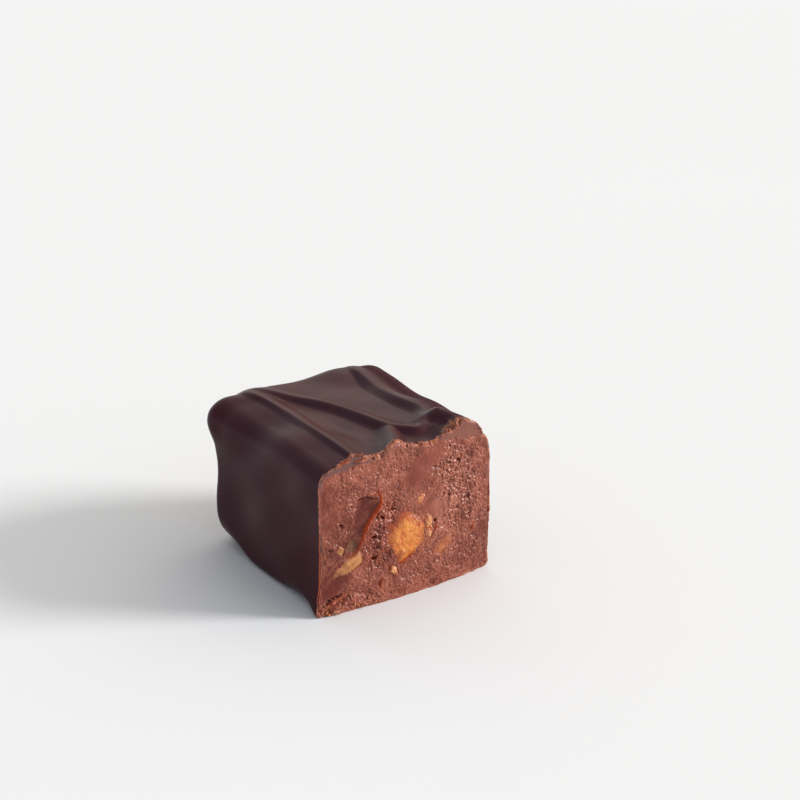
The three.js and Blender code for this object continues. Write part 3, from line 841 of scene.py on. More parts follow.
# %% [markdown]
# ## Walnut pieces
# Broken walnut has flat breaks and sharp corners. Each piece's outline on the cut is a polygon; its surface
# runs from the middle of a rough front to the outline, round the edge and back to a point inside the
# filling. A cut-up ball would be rounder, and its border wouldn't follow the corners.

# %% Walnut outlines
# corners x, z on the cut
WALNUT_CORNERS = {
    "walnut_chunk": [
        (-2.8, 8.5), (-2.4, 9.5), (-0.1, 11.3), (1.7, 10.0), (2.7, 8.8), (2.3, 6.5), (1.0, 5.3), (-1.0, 4.4),
        (-2.2, 6.7)],
    "walnut_sliver_left": [
        (-10.1, 5.4), (-9.1, 6.4), (-7.7, 7.2), (-6.4, 7.6), (-5.8, 6.8), (-6.0, 5.9), (-7.6, 5.2),
        (-9.3, 4.9)],
    "walnut_sliver_right": [(3.7, 4.4), (4.5, 5.8), (6.1, 6.6), (6.9, 6.1), (6.2, 4.9), (4.9, 4.2)],
    "walnut_chip_1": [
        (2.6, 9.5), (3.2, 9.9), (3.9, 9.3), (3.6, 8.5), (4.0, 7.6), (3.5, 6.9), (3.2, 6.2), (2.9, 7.2),
        (2.6, 8.2)],
    "walnut_chip_2": [(-9.9, 8.2), (-9.5, 9.1), (-8.7, 8.5), (-9.0, 7.4)],
    "walnut_chip_3": [(-8.9, 8.3), (-8.2, 9.6), (-7.3, 9.3), (-7.2, 8.3), (-8.1, 7.8)],
    "walnut_chip_4": [(1.6, 11.5), (1.7, 12.4), (2.2, 12.9), (2.9, 12.6), (2.5, 11.9), (2.2, 11.3)],
    "walnut_chip_5": [(-2.7, 3.8), (-2.3, 4.7), (-1.5, 4.1), (-1.3, 3.2), (-1.9, 3.0)],
}
ANGLES = np.linspace(-np.pi, np.pi, 361)
ON_EDGE = 1e-6


def polygon_reach(corners, angle):
    """How far a polygon reaches from its middle in each direction: the nearest crossing with an edge."""
    corners = np.array(corners)
    middle = corners.mean(0)
    start = corners - middle
    edge = np.roll(start, -1, axis=0) - start
    direction = np.stack([np.cos(angle), np.sin(angle)], -1)[..., None, :]
    across = direction[..., 0] * edge[:, 1] - direction[..., 1] * edge[:, 0]
    across = np.where(abs(across) < TINY, TINY, across)
    reach = (start[:, 0] * edge[:, 1] - start[:, 1] * edge[:, 0]) / across
    place = (start[:, 0] * direction[..., 1] - start[:, 1] * direction[..., 0]) / across
    hit = (reach > 0) & (place >= -ON_EDGE) & (place <= 1 + ON_EDGE)
    return middle, np.where(hit, reach, np.inf).min(-1)


def walnut_share(x, z, corners):
    """Distance from a walnut piece's middle, as a share of its outline's."""
    middle, reaches = polygon_reach(corners, ANGLES)
    reach = np.interp(np.arctan2(z - middle[1], x - middle[0]), ANGLES, reaches)
    return np.hypot(x - middle[0], z - middle[1]) / reach


chunk_reach = polygon_reach(WALNUT_CORNERS["walnut_chunk"], ANGLES)[1]
print("the chunk reaches", chunk_reach.max().round(1), "mm from its middle")

# %% Build the walnut pieces
# each row: depth behind the cut, how far it stands out of it, roughness, and the side in degrees that the
# filling clings to
WALNUT_SHAPES = {
    "walnut_chunk": (2.6, 0.06, 0.8, 100),
    "walnut_sliver_left": (1.4, 0.18, 0.15, 40),
    "walnut_sliver_right": (1.4, 0.1, 0.3, 45),
    "walnut_chip_1": (1.0, 0.12, 1.5, 0),
    "walnut_chip_2": (0.8, 0.05, 0.5, 90),
    "walnut_chip_3": (0.8, 0.03, 0.5, 90),
    "walnut_chip_4": (0.9, 0.05, 0.8, -90),
    "walnut_chip_5": (0.8, 0.15, 1.0, -90),
}
CHUNK_STEPS = 64
CHIP_STEPS = 26
BACK_ROWS = 6
UNDER_FILLING = 1.35
NUT_FACETS = 0.06
NUT_GRAIN = [(0.06, 0.4, 42), (0.04, 0.16, 43)]


def build_walnut(name, steps):
    """Rows run out over the front to UNDER_FILLING times the outline, and back to a point as a square root
    does. The front is level in the middle and follows the cut's long relief towards the outline."""
    depth, proud, roughness, clinging_side = WALNUT_SHAPES[name]
    angle = -np.pi + 2 * np.pi * np.arange(4 * steps) / (4 * steps)
    middle, reach = polygon_reach(WALNUT_CORNERS[name], angle)
    front = np.linspace(0, UNDER_FILLING, steps + 1)[1:]
    back = np.linspace(1, 0, BACK_ROWS + 2)[1:-1]
    share = np.concatenate([front, UNDER_FILLING * np.sqrt(back)])
    sunk = np.concatenate([0 * front, depth * (1 - back)])
    x = middle[0] + share[:, None] * reach * np.cos(angle)
    z = middle[1] + share[:, None] * reach * np.sin(angle)
    facets = NUT_FACETS * (0.5 - abs(soft_noise(x / 1.1, z / 1.1, 41)))
    rough = (facets + bumps(x, z, NUT_GRAIN)) * roughness * (1 - smooth(share, 0.7, 1.1))[:, None]
    rise = proud * (1 - smooth(share, 0.5, 0.9)) - 0.12 * smooth(share, 0.8, UNDER_FILLING)
    around = long_relief(x, z)
    level = np.mean(around[share < 0.8])
    near = level + (around - level) * smooth(share, 0.7, 1.05)[:, None]
    y = cut_face(x, z) - near - rise[:, None] - rough * (sunk == 0)[:, None] + sunk[:, None]
    points = np.stack([x, y, z], -1).reshape(-1, 3)
    front_pole = [middle[0], y[0].mean(), middle[1]]
    back_pole = [middle[0], y[-1].mean() + 0.1 * depth, middle[1]]
    rows = np.arange(len(points)).reshape(x.shape)
    faces = capped_tube(rows, (len(points), len(points) + 1))
    points = np.concatenate([points, [front_pole, back_pole]])
    margin = share[:, None] * (1 + 0.2 * np.cos(angle - np.radians(clinging_side)))
    values = {"margin": np.append(margin, [0, 0]), "bump": np.append(rough, [0, 0])}
    return make_piece("fine_" + name, flare(points), faces, values)


walnuts = {}
for name in WALNUT_CORNERS:
    walnuts[name] = build_walnut(name, CHUNK_STEPS if name == "walnut_chunk" else CHIP_STEPS)

# %% [markdown]
# ## The filling
# The filling is a plug that runs through the coating. Its cut face is a fine grid, so that grains and pits
# are real relief. The grid's border lies on the rounded outline, and its inner places are that outline
# shrunk towards the middle. It dips where walnut pieces sit, so that they come out of it with a ragged
# border. Cutting them out with a Boolean modifier would leave a clean border instead.

# %% Build the filling
FACE_ACROSS = 330
FACE_UP = 250
PLUG_ROWS = (5, 3, 1)
FIT = COAT + 0.02
FACE_FIT = COAT - 0.05
POCKET_DEPTH = 0.8
BORDER_SINK = 0.06
POCKET_EDGE = [(0.2, 0.25, 51), (0.15, 0.7, 52)]


def border_place(s, t, y, inset):
    """The outline's place that goes with a place on the border of a square from -1 to 1."""
    arcs = corner_arcs(np.full(s.shape, y), inset)
    corner = np.where(s > 0, np.where(t > 0, 1, 0), np.where(t > 0, 2, 3))[..., None]
    radius, middle_x, middle_z = (np.take_along_axis(arc, corner, -1)[..., 0] for arc in arcs)
    x = SIDE_LEFT + inset + (SIDE_RIGHT - SIDE_LEFT - 2 * inset) * (s + 1) / 2
    z = inset + (HEIGHT - 2 * inset) * (t + 1) / 2
    out_x = x - middle_x
    out_z = z - middle_z
    in_corner = (out_x * s > 0) & (out_z * t > 0)
    length = np.maximum(np.hypot(out_x, out_z), TINY)
    rounded_x = np.where(in_corner, middle_x + radius * out_x / length, x)
    rounded_z = np.where(in_corner, middle_z + radius * out_z / length, z)
    return rounded_x, rounded_z


def pockets(x, z):
    """1 where a walnut piece fills the cut and 0 outside it, with a ragged border, and the same for the thin
    film of filling round it, through which it shows."""
    shares = [walnut_share(x, z, corners) for corners in WALNUT_CORNERS.values()]
    nearest = np.minimum.reduce(shares) + bumps(x, z, POCKET_EDGE)
    return 1 - smooth(nearest, 0.78, 0.96), 1 - smooth(nearest, 0.9, 1.35)


def build_filling():
    """A grid of the cut face, and rings from its border through the coating to the back."""
    s, t = np.meshgrid(np.linspace(-1, 1, FACE_ACROSS + 1), np.linspace(-1, 1, FACE_UP + 1), indexing="ij")
    out = np.maximum(np.maximum(abs(s), abs(t)), TINY)
    edge_x, edge_z = border_place(s / out, t / out, CUT_Y, FACE_FIT)
    x = MIDDLE_X + (edge_x - MIDDLE_X) * out
    z = MIDDLE_Z + (edge_z - MIDDLE_Z) * out
    pocket, film = pockets(x, z)
    y = cut_face(x, z) - relief(x, z) + POCKET_DEPTH * pocket + BORDER_SINK * (out > 0.996)
    face = np.stack([x, y, z], -1).reshape(-1, 3)

    number = np.arange(len(face)).reshape(x.shape)
    squares = np.stack([number[:-1, :-1], number[1:, :-1], number[1:, 1:], number[:-1, 1:]], -1)
    border = np.concatenate([number[:-1, 0], number[-1, :-1], number[:0:-1, -1], number[0, :0:-1]])
    ring_s = s.ravel()[border]
    ring_t = t.ravel()[border]

    def ring_outline(ys):
        """The border's places on the outline at each y."""
        places = np.array([border_place(ring_s, ring_t, one, FIT) for one in ys])
        return places[:, 0], places[:, 1]

    rings, pole = block_rings(ring_outline, FIT, PLUG_ROWS, cut_face)
    plug = rings[1:].reshape(-1, 3)
    points = np.concatenate([face, plug, [pole]])
    rows = np.concatenate([border, len(face) + np.arange(len(plug))]).reshape(-1, len(border))
    faces = [squares.reshape(-1, 4), *cup_faces(rows, len(points) - 1)]
    hidden = np.zeros(len(plug) + 1)
    values = {k: np.append(v, hidden) for k, v in (cut_values(x, z) | {"film": film}).items()}
    return make_piece("fudge_filling", flare(points), faces, values)


filling = build_filling()

# %% [markdown]
# ## Thin flakes
# At a few places the knife lifted thin flakes. Light comes through them, so they glow orange red; the glow
# is partly a real translucent share and partly painted into their colour. The flap's lip is the longest,
# tall at its top and lower further down. Each is a ribbon along a path on the cut: a flat ellipse swept
# along it, tall out of the cut and thin across, which tapers to its ends. A bevelled curve would have the
# same section all along.

# %% Build the flakes
# each row: height at the first and last place, thickness, glow (a painted orange glow and a translucent
# share), and places x, z on the cut
FLAKES = [
    (0.85, 0.6, 0.22, 0.9, [
        (-3.75, 14.75), (-3.8, 14.1), (-4.0, 13.3), (-4.65, 12.5), (-5.4, 11.8), (-6.1, 10.9), (-6.5, 9.8),
        (-6.75, 8.9), (-7.05, 8.2), (-7.35, 7.8)]),
    (0.3, 0.2, 0.09, 0.5, [(-3.8, 14.6), (-4.8, 14.45), (-5.8, 14.35)]),
    (0.4, 0.35, 0.14, 0.8, [(-1.2, 4.5), (0.0, 5.0), (1.1, 5.7)]),
    (0.25, 0.3, 0.08, 0.9, [(-3.9, 1.9), (-3.8, 2.6), (-3.6, 3.3)]),
    (0.25, 0.3, 0.08, 0.7, [(-2.7, 3.5), (-2.5, 4.2), (-2.1, 4.7)]),
    (0.25, 0.3, 0.1, 1.0, [(9.7, 5.7), (9.8, 6.5), (10.0, 7.2)]),
    (0.25, 0.2, 0.08, 0.5, [(-5.9, 5.9), (-6.0, 6.5), (-6.3, 7.1)]),
    (0.3, 0.35, 0.24, 0.4, [(-11.1, 1.0), (-10.3, 1.4), (-9.4, 1.8), (-8.4, 2.3)]),
    (0.3, 0.3, 0.14, 0.7, [(-9.4, 19.2), (-8.5, 19.45), (-7.6, 19.6)]),
    (0.3, 0.3, 0.14, 0.15, [(-7.0, 19.3), (-6.0, 19.2), (-5.1, 19.1), (-4.0, 19.2)]),
    (0.2, 0.2, 0.07, 1.0, [(4.15, 7.6), (4.3, 8.2), (4.3, 8.8)]),
    (0.1, 0.12, 0.06, 0.7, [(-12.1, 1.8), (-12.0, 4.0), (-11.95, 6.5), (-11.95, 9.0), (-11.95, 11.3)]),
    (0.12, 0.12, 0.07, 0.4, [(12.4, 2.0), (12.4, 5.5), (12.4, 9.0), (12.4, 12.5), (12.3, 16.0)]),
]
FLAKE_SIDES = 12
FRAY = [(0.35, 0.35, 61)]


def flake_rings(first_height, last_height, thick, path):
    """A point on a flake: its path, plus cosine times height out of the cut, plus sine times thickness
    across. Both taper as the root of a sine. Also each ring's share of the way."""
    line = smooth_path(np.array(path))
    x, z = line.T
    heading = np.gradient(line, axis=0)
    heading = heading / np.linalg.norm(heading, axis=1, keepdims=True)
    along = np.linspace(0, 1, len(line))
    taper = np.sqrt(np.clip(np.sin(np.pi * (0.04 + 0.92 * along)), 0, 1))
    height = (first_height + (last_height - first_height) * np.sqrt(along)) * taper * (1 + bumps(x, z, FRAY))
    turn = 2 * np.pi * np.arange(FLAKE_SIDES) / FLAKE_SIDES
    tall = height[:, None] * np.cos(turn)
    wide = (thick * taper)[:, None] * np.sin(turn)
    base = cut_face(x, z) - long_relief(x - 0.25, z) + torn_edge(x, z)
    across_x = x[:, None] + heading[:, 1:] * wide
    across_z = z[:, None] - heading[:, :1] * wide
    return np.stack([across_x, base[:, None] - tall, across_z], -1), along


def build_flakes():
    """Closes each flake with two points, and joins all of them. Their glow, painted into the colour and
    given to a translucent share, fades along their length.
    """
    all_points = []
    all_faces = []
    all_glow = []
    start = 0
    for first_height, last_height, thick, glow, path in FLAKES:
        rings, along = flake_rings(first_height, last_height, thick, path)
        ends = np.array([rings[0].mean(0), rings[-1].mean(0)])
        rows = start + np.arange(rings.size // 3).reshape(rings.shape[:2])
        start = start + rows.size + 2
        all_points.append(np.concatenate([rings.reshape(-1, 3), ends]))
        all_faces = all_faces + turned(capped_tube(rows, (start - 2, start - 1)))
        fade = np.repeat(glow * (1 - 0.65 * np.sqrt(along)), FLAKE_SIDES)
        all_glow.append(np.append(fade, fade[[0, -1]]))
    return make_piece(
        "flakes", flare(np.concatenate(all_points)), all_faces, {"glow": np.concatenate(all_glow)})


flakes = build_flakes()

# %% [markdown]
# ## Crumbs
# The knife breaks crumbs off the coating's top edge, and pushes some down to the lower left of the cut. Each
# crumb is a twenty-sided ball with its corners moved at random, and all of them are one mesh. A particle
# system could scatter them, but it wouldn't give one mesh with a tone for each crumb.

# %% The ball and its turns
GOLDEN = (1 + 5 ** 0.5) / 2
BALL = np.array([
    [-1, GOLDEN, 0], [1, GOLDEN, 0], [-1, -GOLDEN, 0], [1, -GOLDEN, 0], [0, -1, GOLDEN], [0, 1, GOLDEN],
    [0, -1, -GOLDEN], [0, 1, -GOLDEN], [GOLDEN, 0, -1], [GOLDEN, 0, 1], [-GOLDEN, 0, -1], [-GOLDEN, 0, 1],
]) / np.hypot(1, GOLDEN)
BALL_FACES = np.array([
    [0, 11, 5], [0, 5, 1], [0, 1, 7], [0, 7, 10], [0, 10, 11], [1, 5, 9], [5, 11, 4], [11, 10, 2],
    [10, 7, 6], [7, 1, 8], [3, 9, 4], [3, 4, 2], [3, 2, 6], [3, 6, 8], [3, 8, 9], [4, 9, 5],
    [2, 4, 11], [6, 2, 10], [8, 6, 7], [9, 8, 1],
])


def random_turns(count, rng):
    """Rotations from random quaternions of length 1."""
    parts = rng.normal(size=(4, count))
    w, x, y, z = parts / np.linalg.norm(parts, axis=0)
    rows = [
        [1 - 2 * (y * y + z * z), 2 * (x * y - z * w), 2 * (x * z + y * w)],
        [2 * (x * y + z * w), 1 - 2 * (x * x + z * z), 2 * (y * z - x * w)],
        [2 * (x * z - y * w), 2 * (y * z + x * w), 1 - 2 * (x * x + y * y)],
    ]
    return np.moveaxis(np.array(rows), -1, 0)


print("a crumb has", len(BALL_FACES), "faces")

# %% Build the crumbs
EDGE_CRUMBS = 170
LEDGE_CRUMBS = 90
FACE_CRUMBS = 140
LARGEST_CRUMBS = [0.3, 0.42, 0.16]
STRAY = 0.1
CRUMB_SINK = 0.03


def build_crumbs():
    """Places along the coating's top edge, on the ledge at the lower left and over the cut. A crumb strays
    from the edge by a third of its own size at most, so that it touches it."""
    rng = np.random.default_rng(7)
    top = coating_edge[(coating_edge[:, 2] > HEIGHT - 0.9) & (coating_edge[:, 0] > -9)]
    on_edge = top[rng.integers(0, len(top), EDGE_CRUMBS)]
    stray = rng.normal(0, STRAY, (EDGE_CRUMBS, 3)) + [0, STRAY, -STRAY]
    ledge_x = rng.uniform(-11.4, -3.0, LEDGE_CRUMBS)
    ledge_z = np.abs(rng.normal(0, 0.7, LEDGE_CRUMBS)) * smooth(ledge_x, -2, -9) + 0.2
    x = np.concatenate([ledge_x, rng.uniform(-10, 11, FACE_CRUMBS)])
    z = np.concatenate([ledge_z, rng.uniform(1.5, 18, FACE_CRUMBS)])
    on_cut = np.stack([x, cut_face(x, z) - relief(x, z) + CRUMB_SINK, z], -1)

    largest = np.repeat(LARGEST_CRUMBS, [EDGE_CRUMBS, LEDGE_CRUMBS, FACE_CRUMBS])
    count = len(largest)
    size = largest * (0.25 + 0.75 * rng.uniform(0, 1, count) ** 2)
    stray = stray * np.minimum(1, size[:EDGE_CRUMBS] / 3 / np.linalg.norm(stray, axis=1))[:, None]
    places = np.concatenate([on_edge + stray, on_cut])
    stretch = rng.uniform(0.35, 1.1, (count, 3)) * size[:, None] * 0.75
    corners = BALL * rng.uniform(0.6, 1.15, (count, len(BALL), 1)) * stretch[:, None, :]
    points = np.einsum("nij,nkj->nki", random_turns(count, rng), corners) + places[:, None, :]
    points[..., 2] = np.maximum(points[..., 2], 0.0)
    faces = (BALL_FACES[None] + len(BALL) * np.arange(count)[:, None, None]).reshape(-1, 3)
    tone = rng.uniform(0, 1, count)
    tone[EDGE_CRUMBS:EDGE_CRUMBS + LEDGE_CRUMBS] **= 0.4
    return make_piece(
        "crumbs", flare(points.reshape(-1, 3)), [faces], {"tone": np.repeat(tone, len(BALL))})


crumbs = build_crumbs()

# %% [markdown]
# ## Shader maths
# A material is a tree of nodes. Wiring one Math node at a time hides the formula, so a small class wraps a
# node's output, and sums or products of such outputs add the Math nodes by themselves. Any other node comes
# from its one method.

# %% A class for shader sockets


class Socket:
    """An output of a node. Arithmetic on it adds Math nodes to the same tree."""

    def __init__(self, tree, link=None):
        self.tree = tree
        self.link = link

    def node(self, kind, settings=(), sockets=(), output=None):
        """A new node of any kind: its settings first, then its sockets' values or links. Gives an output."""
        made = self.tree.nodes.new(kind)
        for name, value in dict(settings).items():
            setattr(made, name, value)
        by_name = {s.name: s for s in reversed(made.inputs)} | {s.identifier: s for s in made.inputs}
        for name, value in dict(sockets).items():
            if isinstance(value, Socket):
                self.tree.links.new(value.link, by_name[name])
            else:
                by_name[name].default_value = value
        outputs = {s.name: s for s in reversed(made.outputs)} | {s.identifier: s for s in made.outputs}
        return Socket(self.tree, outputs[output]) if output else None

    def maths(self, operation, first, second):
        """What a Math node makes of two numbers."""
        sockets = {"Value": first, "Value_001": second}
        return self.node("ShaderNodeMath", {"operation": operation}, sockets, "Value")

    def __add__(self, other):
        return self.maths("ADD", self, other)

    def __sub__(self, other):
        return self.maths("SUBTRACT", self, other)

    def __rsub__(self, other):
        return self.maths("SUBTRACT", other, self)

    def __mul__(self, other):
        return self.maths("MULTIPLY", self, other)

    __radd__ = __add__
    __rmul__ = __mul__

    def clamped(self):
        """The same number, kept from 0 to 1."""
        return self.node("ShaderNodeClamp", {}, {"Value": self}, "Result")

    def mix(self, share, first, second):
        """A colour between two others."""
        sockets = {"Factor_Float": share, "A_Color": first, "B_Color": second}
        return self.node("ShaderNodeMix", {"data_type": "RGBA"}, sockets, "Result_Color")

    def blend(self, share, first, second):
        """A surface between two others."""
        sockets = {"Fac": share, "Shader": first, "Shader_001": second}
        return self.node("ShaderNodeMixShader", {}, sockets, "Shader")

    def number(self, name):
        """The number that the piece's points carry under a name."""
        return self.node("ShaderNodeAttribute", {"attribute_name": name}, {}, "Fac")

    def noise(self, scale, detail=3.0, roughness=0.55):
        """Noise from 0 to 1 over the object's own coordinates."""
        place = self.node("ShaderNodeTexCoord", {}, {}, "Object")
        sockets = {"Vector": place, "Scale": scale, "Detail": detail, "Roughness": roughness}
        return self.node("ShaderNodeTexNoise", {}, sockets, "Fac")

    def bump(self, height, strength):
        """A normal tilted by a height of up to BUMP_HEIGHT."""
        sockets = {"Height": height, "Strength": strength, "Distance": BUMP_HEIGHT}
        return self.node("ShaderNodeBump", {}, sockets, "Normal")

    def surface(self, **sockets):
        """A Principled shader; underscores in the names stand for spaces."""
        named = {name.replace("_", " "): value for name, value in sockets.items()}
        return self.node("ShaderNodeBsdfPrincipled", {}, named, "BSDF")


print("a socket offers", ", ".join(name for name in vars(Socket) if not name.startswith("_")))

# %% Materials and colours
BUMP_HEIGHT = 0.0001


def new_material(name, recipe):
    """A material whose surface is what the recipe makes from an empty socket of its tree."""
    material = bpy.data.materials.new(name)
    material.use_nodes = True
    material.node_tree.nodes.clear()
    start = Socket(material.node_tree)
    start.node("ShaderNodeOutputMaterial", {}, {"Surface": recipe(start)})
    print("material", name, "has", len(material.node_tree.nodes), "nodes")
    return material


def colour(red, green, blue):
    """A colour given in the 0 to 255 steps of a screen, as the linear numbers that shaders use."""
    steps = np.array([red, green, blue]) / 255
    linear = np.where(steps <= 0.04045, steps / 12.92, ((steps + 0.055) / 1.055) ** 2.4)
    return (*linear.tolist(), 1.0)


print("a middle grey of 128 steps is", round(colour(128, 128, 128)[0], 3), "to a shader")

# %% [markdown]
# ## Cut chocolate
# The filling is a milky, reddish brown. Smears are smoother and redder; raised grains get painted
# highlights, pits and a few hollows painted shade, one patch painted glints and the flap's edge a painted
# glow. The cut coating round it is greyer and smooth. It could be painted by hand, but the numbers on the
# points already say which is which. The coating's rim uses the same recipe, so that no seam shows.

# %% Material of the cut


def cut_chocolate(start):
    """A mottled brown. Each number on the points then mixes in its share of a colour of its own, in turn."""
    clouds = start.noise(420.0)
    speck = start.noise(3600.0, 2.0)
    right = start.number("right")
    mottle = clouds * 0.6 + start.noise(1300.0, 2.0) * 0.4
    cut_coat = start.mix(right, colour(98, 66, 62), colour(124, 74, 62))
    cut_coat = start.mix(((clouds - 0.5) * 4.0).clamped() * 0.5, cut_coat, colour(96, 58, 52))
    # the film round the walnut pieces is darker and redder to the left, which paints shade at their edges
    # there
    film = start.mix(right, colour(112, 38, 22), colour(154, 80, 48))
    base = start.mix(((mottle - 0.38) * 4.0).clamped(), colour(122, 60, 45), colour(152, 84, 64))
    # light adds painted glints, dark a darker tone and painted shade, ridge painted highlights, hollow
    # painted shade and glow a painted glow
    for name, share, tint in (
        ("coarse", 0.5, colour(130, 66, 49)),
        ("smear", 0.8, colour(136, 68, 52)),
        ("torn", 0.6, colour(132, 54, 34)),
        ("coat", 0.9, cut_coat),
        ("light", 0.55, colour(176, 108, 88)),
        ("dark", 0.9, colour(90, 25, 15)),
        ("dull", 0.35, colour(132, 60, 38)),
        ("ridge", 0.6, colour(174, 106, 84)),
        ("hollow", 0.65, colour(80, 22, 11)),
        ("glow", 0.8, colour(176, 72, 40)),
        ("film", 0.7, film),
    ):
        base = start.mix(start.number(name) * share, base, tint)
    open_cut = start.number("coarse") + start.number("torn")
    roughness = 0.28 - open_cut * 0.08 + start.number("dull") * 0.25
    return start.surface(
        Base_Color=base, Roughness=roughness + speck * 0.1, Specular_IOR_Level=0.4,
        Specular_Tint=(1.0, 0.85, 0.8, 1.0), Normal=start.bump(speck, 0.35))


filling.data.materials.append(new_material("cut_chocolate", cut_chocolate))

# %% [markdown]
# ## Dark coating
# The coating is a very dark, reddish brown with a satin surface: pale surroundings show in it only softly.
# It has faint lighter clouds. Where the knife cut or chipped it, the recipe of the cut takes over, and its
# torn edge gets a painted orange glow, as if light came through it. Two materials on one mesh would meet in
# a hard line, so a Mix Shader goes from one to the other.

# %% Material of the coating


def dark_coating(start):
    """A clouded dark skin, glossier by gloss, with the cut and a painted orange glow on its torn edge by
    their own numbers.
    """
    clouds = start.noise(160.0)
    fine = start.noise(1500.0, 2.0)
    skin_colour = start.mix(((clouds - 0.4) * 3.0).clamped(), colour(60, 27, 25), colour(69, 31, 29))
    skin = start.surface(
        Base_Color=skin_colour, Roughness=0.32 + clouds * 0.08 + start.number("rubbed") * 0.4,
        Specular_IOR_Level=0.09, Specular_Tint=(0.7, 1.0, 2.1, 1.0),
        Coat_Weight=start.number("gloss") * 0.15, Coat_Roughness=0.24, Normal=start.bump(fine, 0.05))
    # a painted orange glow on the torn edge, as if light came through it
    painted_edge_glow = start.surface(Base_Color=colour(182, 100, 60), Roughness=0.4, Specular_IOR_Level=0.35)
    cut = start.blend(start.number("edge") * 0.6, cut_chocolate(start), painted_edge_glow)
    return start.blend(start.number("cut"), skin, cut)


coating.data.materials.append(new_material("dark_coating", dark_coating))

# %% [markdown]
# ## Walnut
# Soaked with cocoa butter, the walnut pieces are amber to tan. They are clearest in the middle and browner
# towards the border, where the filling clings to them. Light goes some way in, so they have a little
# subsurface scattering. Each kind has its own colours in the same recipe.

# %% Material of the walnuts
# each row: the light and dark colours, that of the border, and the scale and share of the film on it
KINDS = {
    "walnut_amber": (colour(212, 140, 66), colour(188, 102, 40), colour(150, 60, 26), 560.0, 0.7),
    "walnut_gold": (colour(214, 156, 108), colour(172, 94, 50), colour(124, 58, 40), 1300.0, 0.9),
    "walnut_tan": (colour(200, 142, 88), colour(160, 100, 54), colour(140, 72, 46), 600.0, 0.6),
    "walnut_brown": (colour(176, 102, 60), colour(152, 82, 46), colour(132, 64, 44), 600.0, 0.6),
    "walnut_olive": (colour(132, 88, 54), colour(112, 64, 40), colour(118, 56, 40), 600.0, 0.6),
}
KIND_OF = {
    "walnut_chunk": "walnut_amber", "walnut_sliver_left": "walnut_tan",
    "walnut_sliver_right": "walnut_brown", "walnut_chip_1": "walnut_gold", "walnut_chip_2": "walnut_tan",
    "walnut_chip_3": "walnut_olive", "walnut_chip_4": "walnut_gold", "walnut_chip_5": "walnut_gold",
}


def walnut(light, dark, border, film_scale, film_share):
    """A recipe: streaks between two colours, and the border's colour where the margin, made ragged by the
    streaks, is large or a patch of film lies on it."""
    def recipe(start):
        streaks = start.noise(1100.0, 4.0, 0.65)
        film = ((start.noise(film_scale, 3.0) - 0.53) * 8.0).clamped() * film_share
        fine = start.noise(4200.0, 3.0)
        base = start.mix(((streaks - 0.4) * 4.0 + start.number("bump") * 4.0).clamped(), dark, light)
        ragged = start.number("margin") + (streaks - 0.5) * 0.9
        base = start.mix((film + (ragged - 0.64) * 2.2).clamped() * 0.9, base, border)
        return start.surface(
            Base_Color=base, Roughness=0.3 + fine * 0.25, Specular_IOR_Level=0.38, Subsurface_Weight=0.5,
            Subsurface_Radius=(1.0, 0.45, 0.15), Subsurface_Scale=0.0008,
            Normal=start.bump(streaks + fine * 0.6, 0.3))
    return recipe


walnut_materials = {name: new_material(name, walnut(*looks)) for name, looks in KINDS.items()}
for name, piece in walnuts.items():
    piece.data.materials.append(walnut_materials[KIND_OF[name]])

# %% [markdown]
# ## Flakes and crumbs
# Crumbs are bits of the coating and the filling, and the palest ones look orange. Flakes are so thin that
# they let light through. A share of a Translucent shader does that, and a painted orange glow in their
# colour adds to it.

# %% Materials of flakes and crumbs


def thin_flake(start):
    """From brown to a painted orange glow by glow, with a real translucent share that grows with it too."""
    glow = start.number("glow")
    base = start.mix(glow, colour(146, 76, 52), colour(206, 96, 56))
    solid = start.surface(Base_Color=base, Roughness=0.45, Specular_IOR_Level=0.35)
    through = start.node("ShaderNodeBsdfTranslucent", {}, {"Color": colour(240, 124, 72)}, "BSDF")
    return start.blend(glow * 0.5 + 0.06, solid, through)


def crumb(start):
    """From dark to light brown by tone, and orange at its upper end."""
    tone = start.number("tone")
    base = start.mix(tone, colour(112, 54, 40), colour(166, 96, 70))
    base = start.mix(((tone - 0.85) * 8.0).clamped(), base, colour(206, 122, 70))
    return start.surface(Base_Color=base, Roughness=0.5 - tone * 0.1, Specular_IOR_Level=0.35)


flakes.data.materials.append(new_material("thin_flake", thin_flake))
crumbs.data.materials.append(new_material("crumb", crumb))

# %% [markdown]
# ## Floor, light and camera
# The piece lies on a plain pale floor in soft light from all round, with one lamp low on the right, which
# throws a long soft shadow to the left. The surroundings are brighter behind the piece and darker on its
# left, as beside a window; the two slopes cancel out on the floor. A soft dark card behind on the right
# keeps the right of the top from shining too much. The camera looks down at the left front corner.

# %% Floor
FLOOR_HALF = 3


def pale_floor(start):
    """Two pale greys that differ a little, mixed by slow noise."""
    shade = start.mix(start.noise(9.0, 2.0), (0.79, 0.79, 0.79, 1), (0.81, 0.81, 0.81, 1))
    return start.surface(Base_Color=shade, Roughness=0.9, Specular_IOR_Level=0.1)


floor_corners = [(FLOOR_HALF * x, FLOOR_HALF * y, 0) for x, y in ((-1, -1), (1, -1), (1, 1), (-1, 1))]
mesh = bpy.data.meshes.new("floor")
mesh.from_pydata(floor_corners, [], [(0, 1, 2, 3)])
mesh.materials.append(new_material("pale_floor", pale_floor))
floor = bpy.data.objects.new("floor", mesh)
bpy.context.scene.collection.objects.link(floor)
floor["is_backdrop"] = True

# %% Light from all round
YAW = np.radians(33.37)
AWAY = (np.sin(YAW), np.cos(YAW), 0.0)
LEFT = (-np.cos(YAW), np.sin(YAW), 0.0)
UP = (0.0, 0.0, 1.0)
FILL = 0.96
AWAY_SLOPE = 0.46
LEFT_SLOPE = -0.41
UP_SLOPE = -0.33
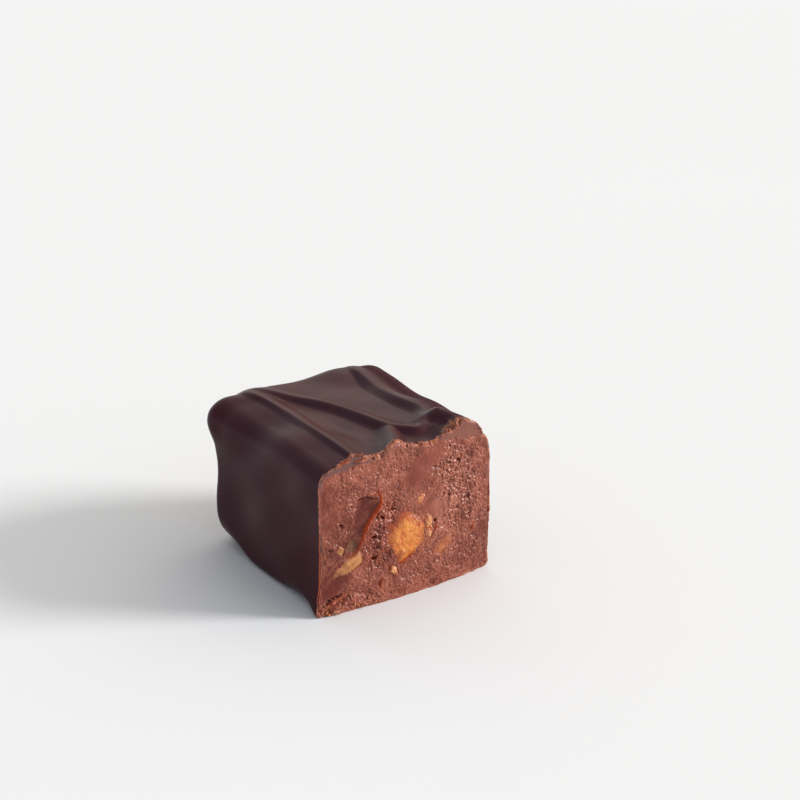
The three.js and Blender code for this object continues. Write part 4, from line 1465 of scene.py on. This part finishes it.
# red and blue against green: a share, and how it changes away from the camera and to the left
RED_TINT = (0.985, 0.1, -0.06)
BLUE_TINT = (1.03, -0.16, 0.1)
CARD = (0.65, 0.76, 0.0)
CARD_EDGE = (0.93, 0.985)
CARD_SHADE = 0.3

world = bpy.data.worlds.new("studio")
world.use_nodes = True
world.node_tree.nodes.clear()
sky = Socket(world.node_tree)
direction = sky.node("ShaderNodeTexCoord", {}, {}, "Generated")


def towards(axis):
    """How far the direction of the sky points along an axis: their dot product."""
    sockets = {"Vector": direction, "Vector_001": axis}
    return sky.node("ShaderNodeVectorMath", {"operation": "DOT_PRODUCT"}, sockets, "Value")


away = towards(AWAY)
left = towards(LEFT)
card = sky.node("ShaderNodeMapRange", {"interpolation_type": "SMOOTHSTEP"}, {
    "Value": towards(CARD), "From Min": CARD_EDGE[0], "From Max": CARD_EDGE[1],
    "To Min": 1.0, "To Max": CARD_SHADE}, "Result")
brightness = (FILL + away * AWAY_SLOPE + left * LEFT_SLOPE + towards(UP) * UP_SLOPE) * card
red = brightness * (RED_TINT[0] + away * RED_TINT[1] + left * RED_TINT[2])
blue = brightness * (BLUE_TINT[0] + away * BLUE_TINT[1] + left * BLUE_TINT[2])
sky_colour = sky.node("ShaderNodeCombineColor", {}, {"Red": red, "Green": brightness, "Blue": blue}, "Color")
background = sky.node("ShaderNodeBackground", {}, {"Color": sky_colour}, "Background")
sky.node("ShaderNodeOutputWorld", {}, {"Surface": background})
bpy.context.scene.world = world
bpy.context.scene.view_settings.view_transform = "Standard"
print("the sky has", len(world.node_tree.nodes), "nodes")

# %% Lamp
LAMP_HEIGHT = np.radians(22)
lamp = bpy.data.lights.new("key", "SUN")
lamp.energy = 3.3
lamp.angle = np.radians(17)
lamp_object = bpy.data.objects.new("key", lamp)
lamp_object.rotation_euler = (np.pi / 2 - LAMP_HEIGHT, 0, np.pi / 2 - YAW)
bpy.context.scene.collection.objects.link(lamp_object)
print("the lamp stands", round(np.degrees(LAMP_HEIGHT)), "degrees high")

# %% Camera
PITCH = np.radians(24.18)
CAMERA_PLACE = np.array([-154.06, -245.33, 150.96])
view = bpy.data.cameras.new("camera")
view.sensor_width = 36
view.lens = 117
view.clip_start = 0.01
camera = bpy.data.objects.new("camera", view)
camera.location = ((CAMERA_PLACE + SHIFT) / PER_METRE).tolist()
camera.rotation_euler = (np.pi / 2 - PITCH, 0, -YAW)
bpy.context.scene.collection.objects.link(camera)
bpy.context.scene.camera = camera
print("camera", np.round(camera.location, 4), "looks down by", round(np.degrees(PITCH), 2), "degrees")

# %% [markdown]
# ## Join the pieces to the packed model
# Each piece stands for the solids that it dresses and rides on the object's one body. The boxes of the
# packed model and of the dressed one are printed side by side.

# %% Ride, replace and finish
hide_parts("coating")
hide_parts("filling")
for name, piece in walnuts.items():
    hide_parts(name)
for piece in (coating, filling, flakes, crumbs, *walnuts.values()):
    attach(piece, "root")

visual_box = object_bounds()
sizes = {"cad": [list(map(float, c)) for c in cad_box], "visual": [list(map(float, c)) for c in visual_box]}
boxes = np.round(np.array(list(sizes.values())) * PER_METRE, 2).tolist()
print("box of the packed model and of this one, mm:", boxes)
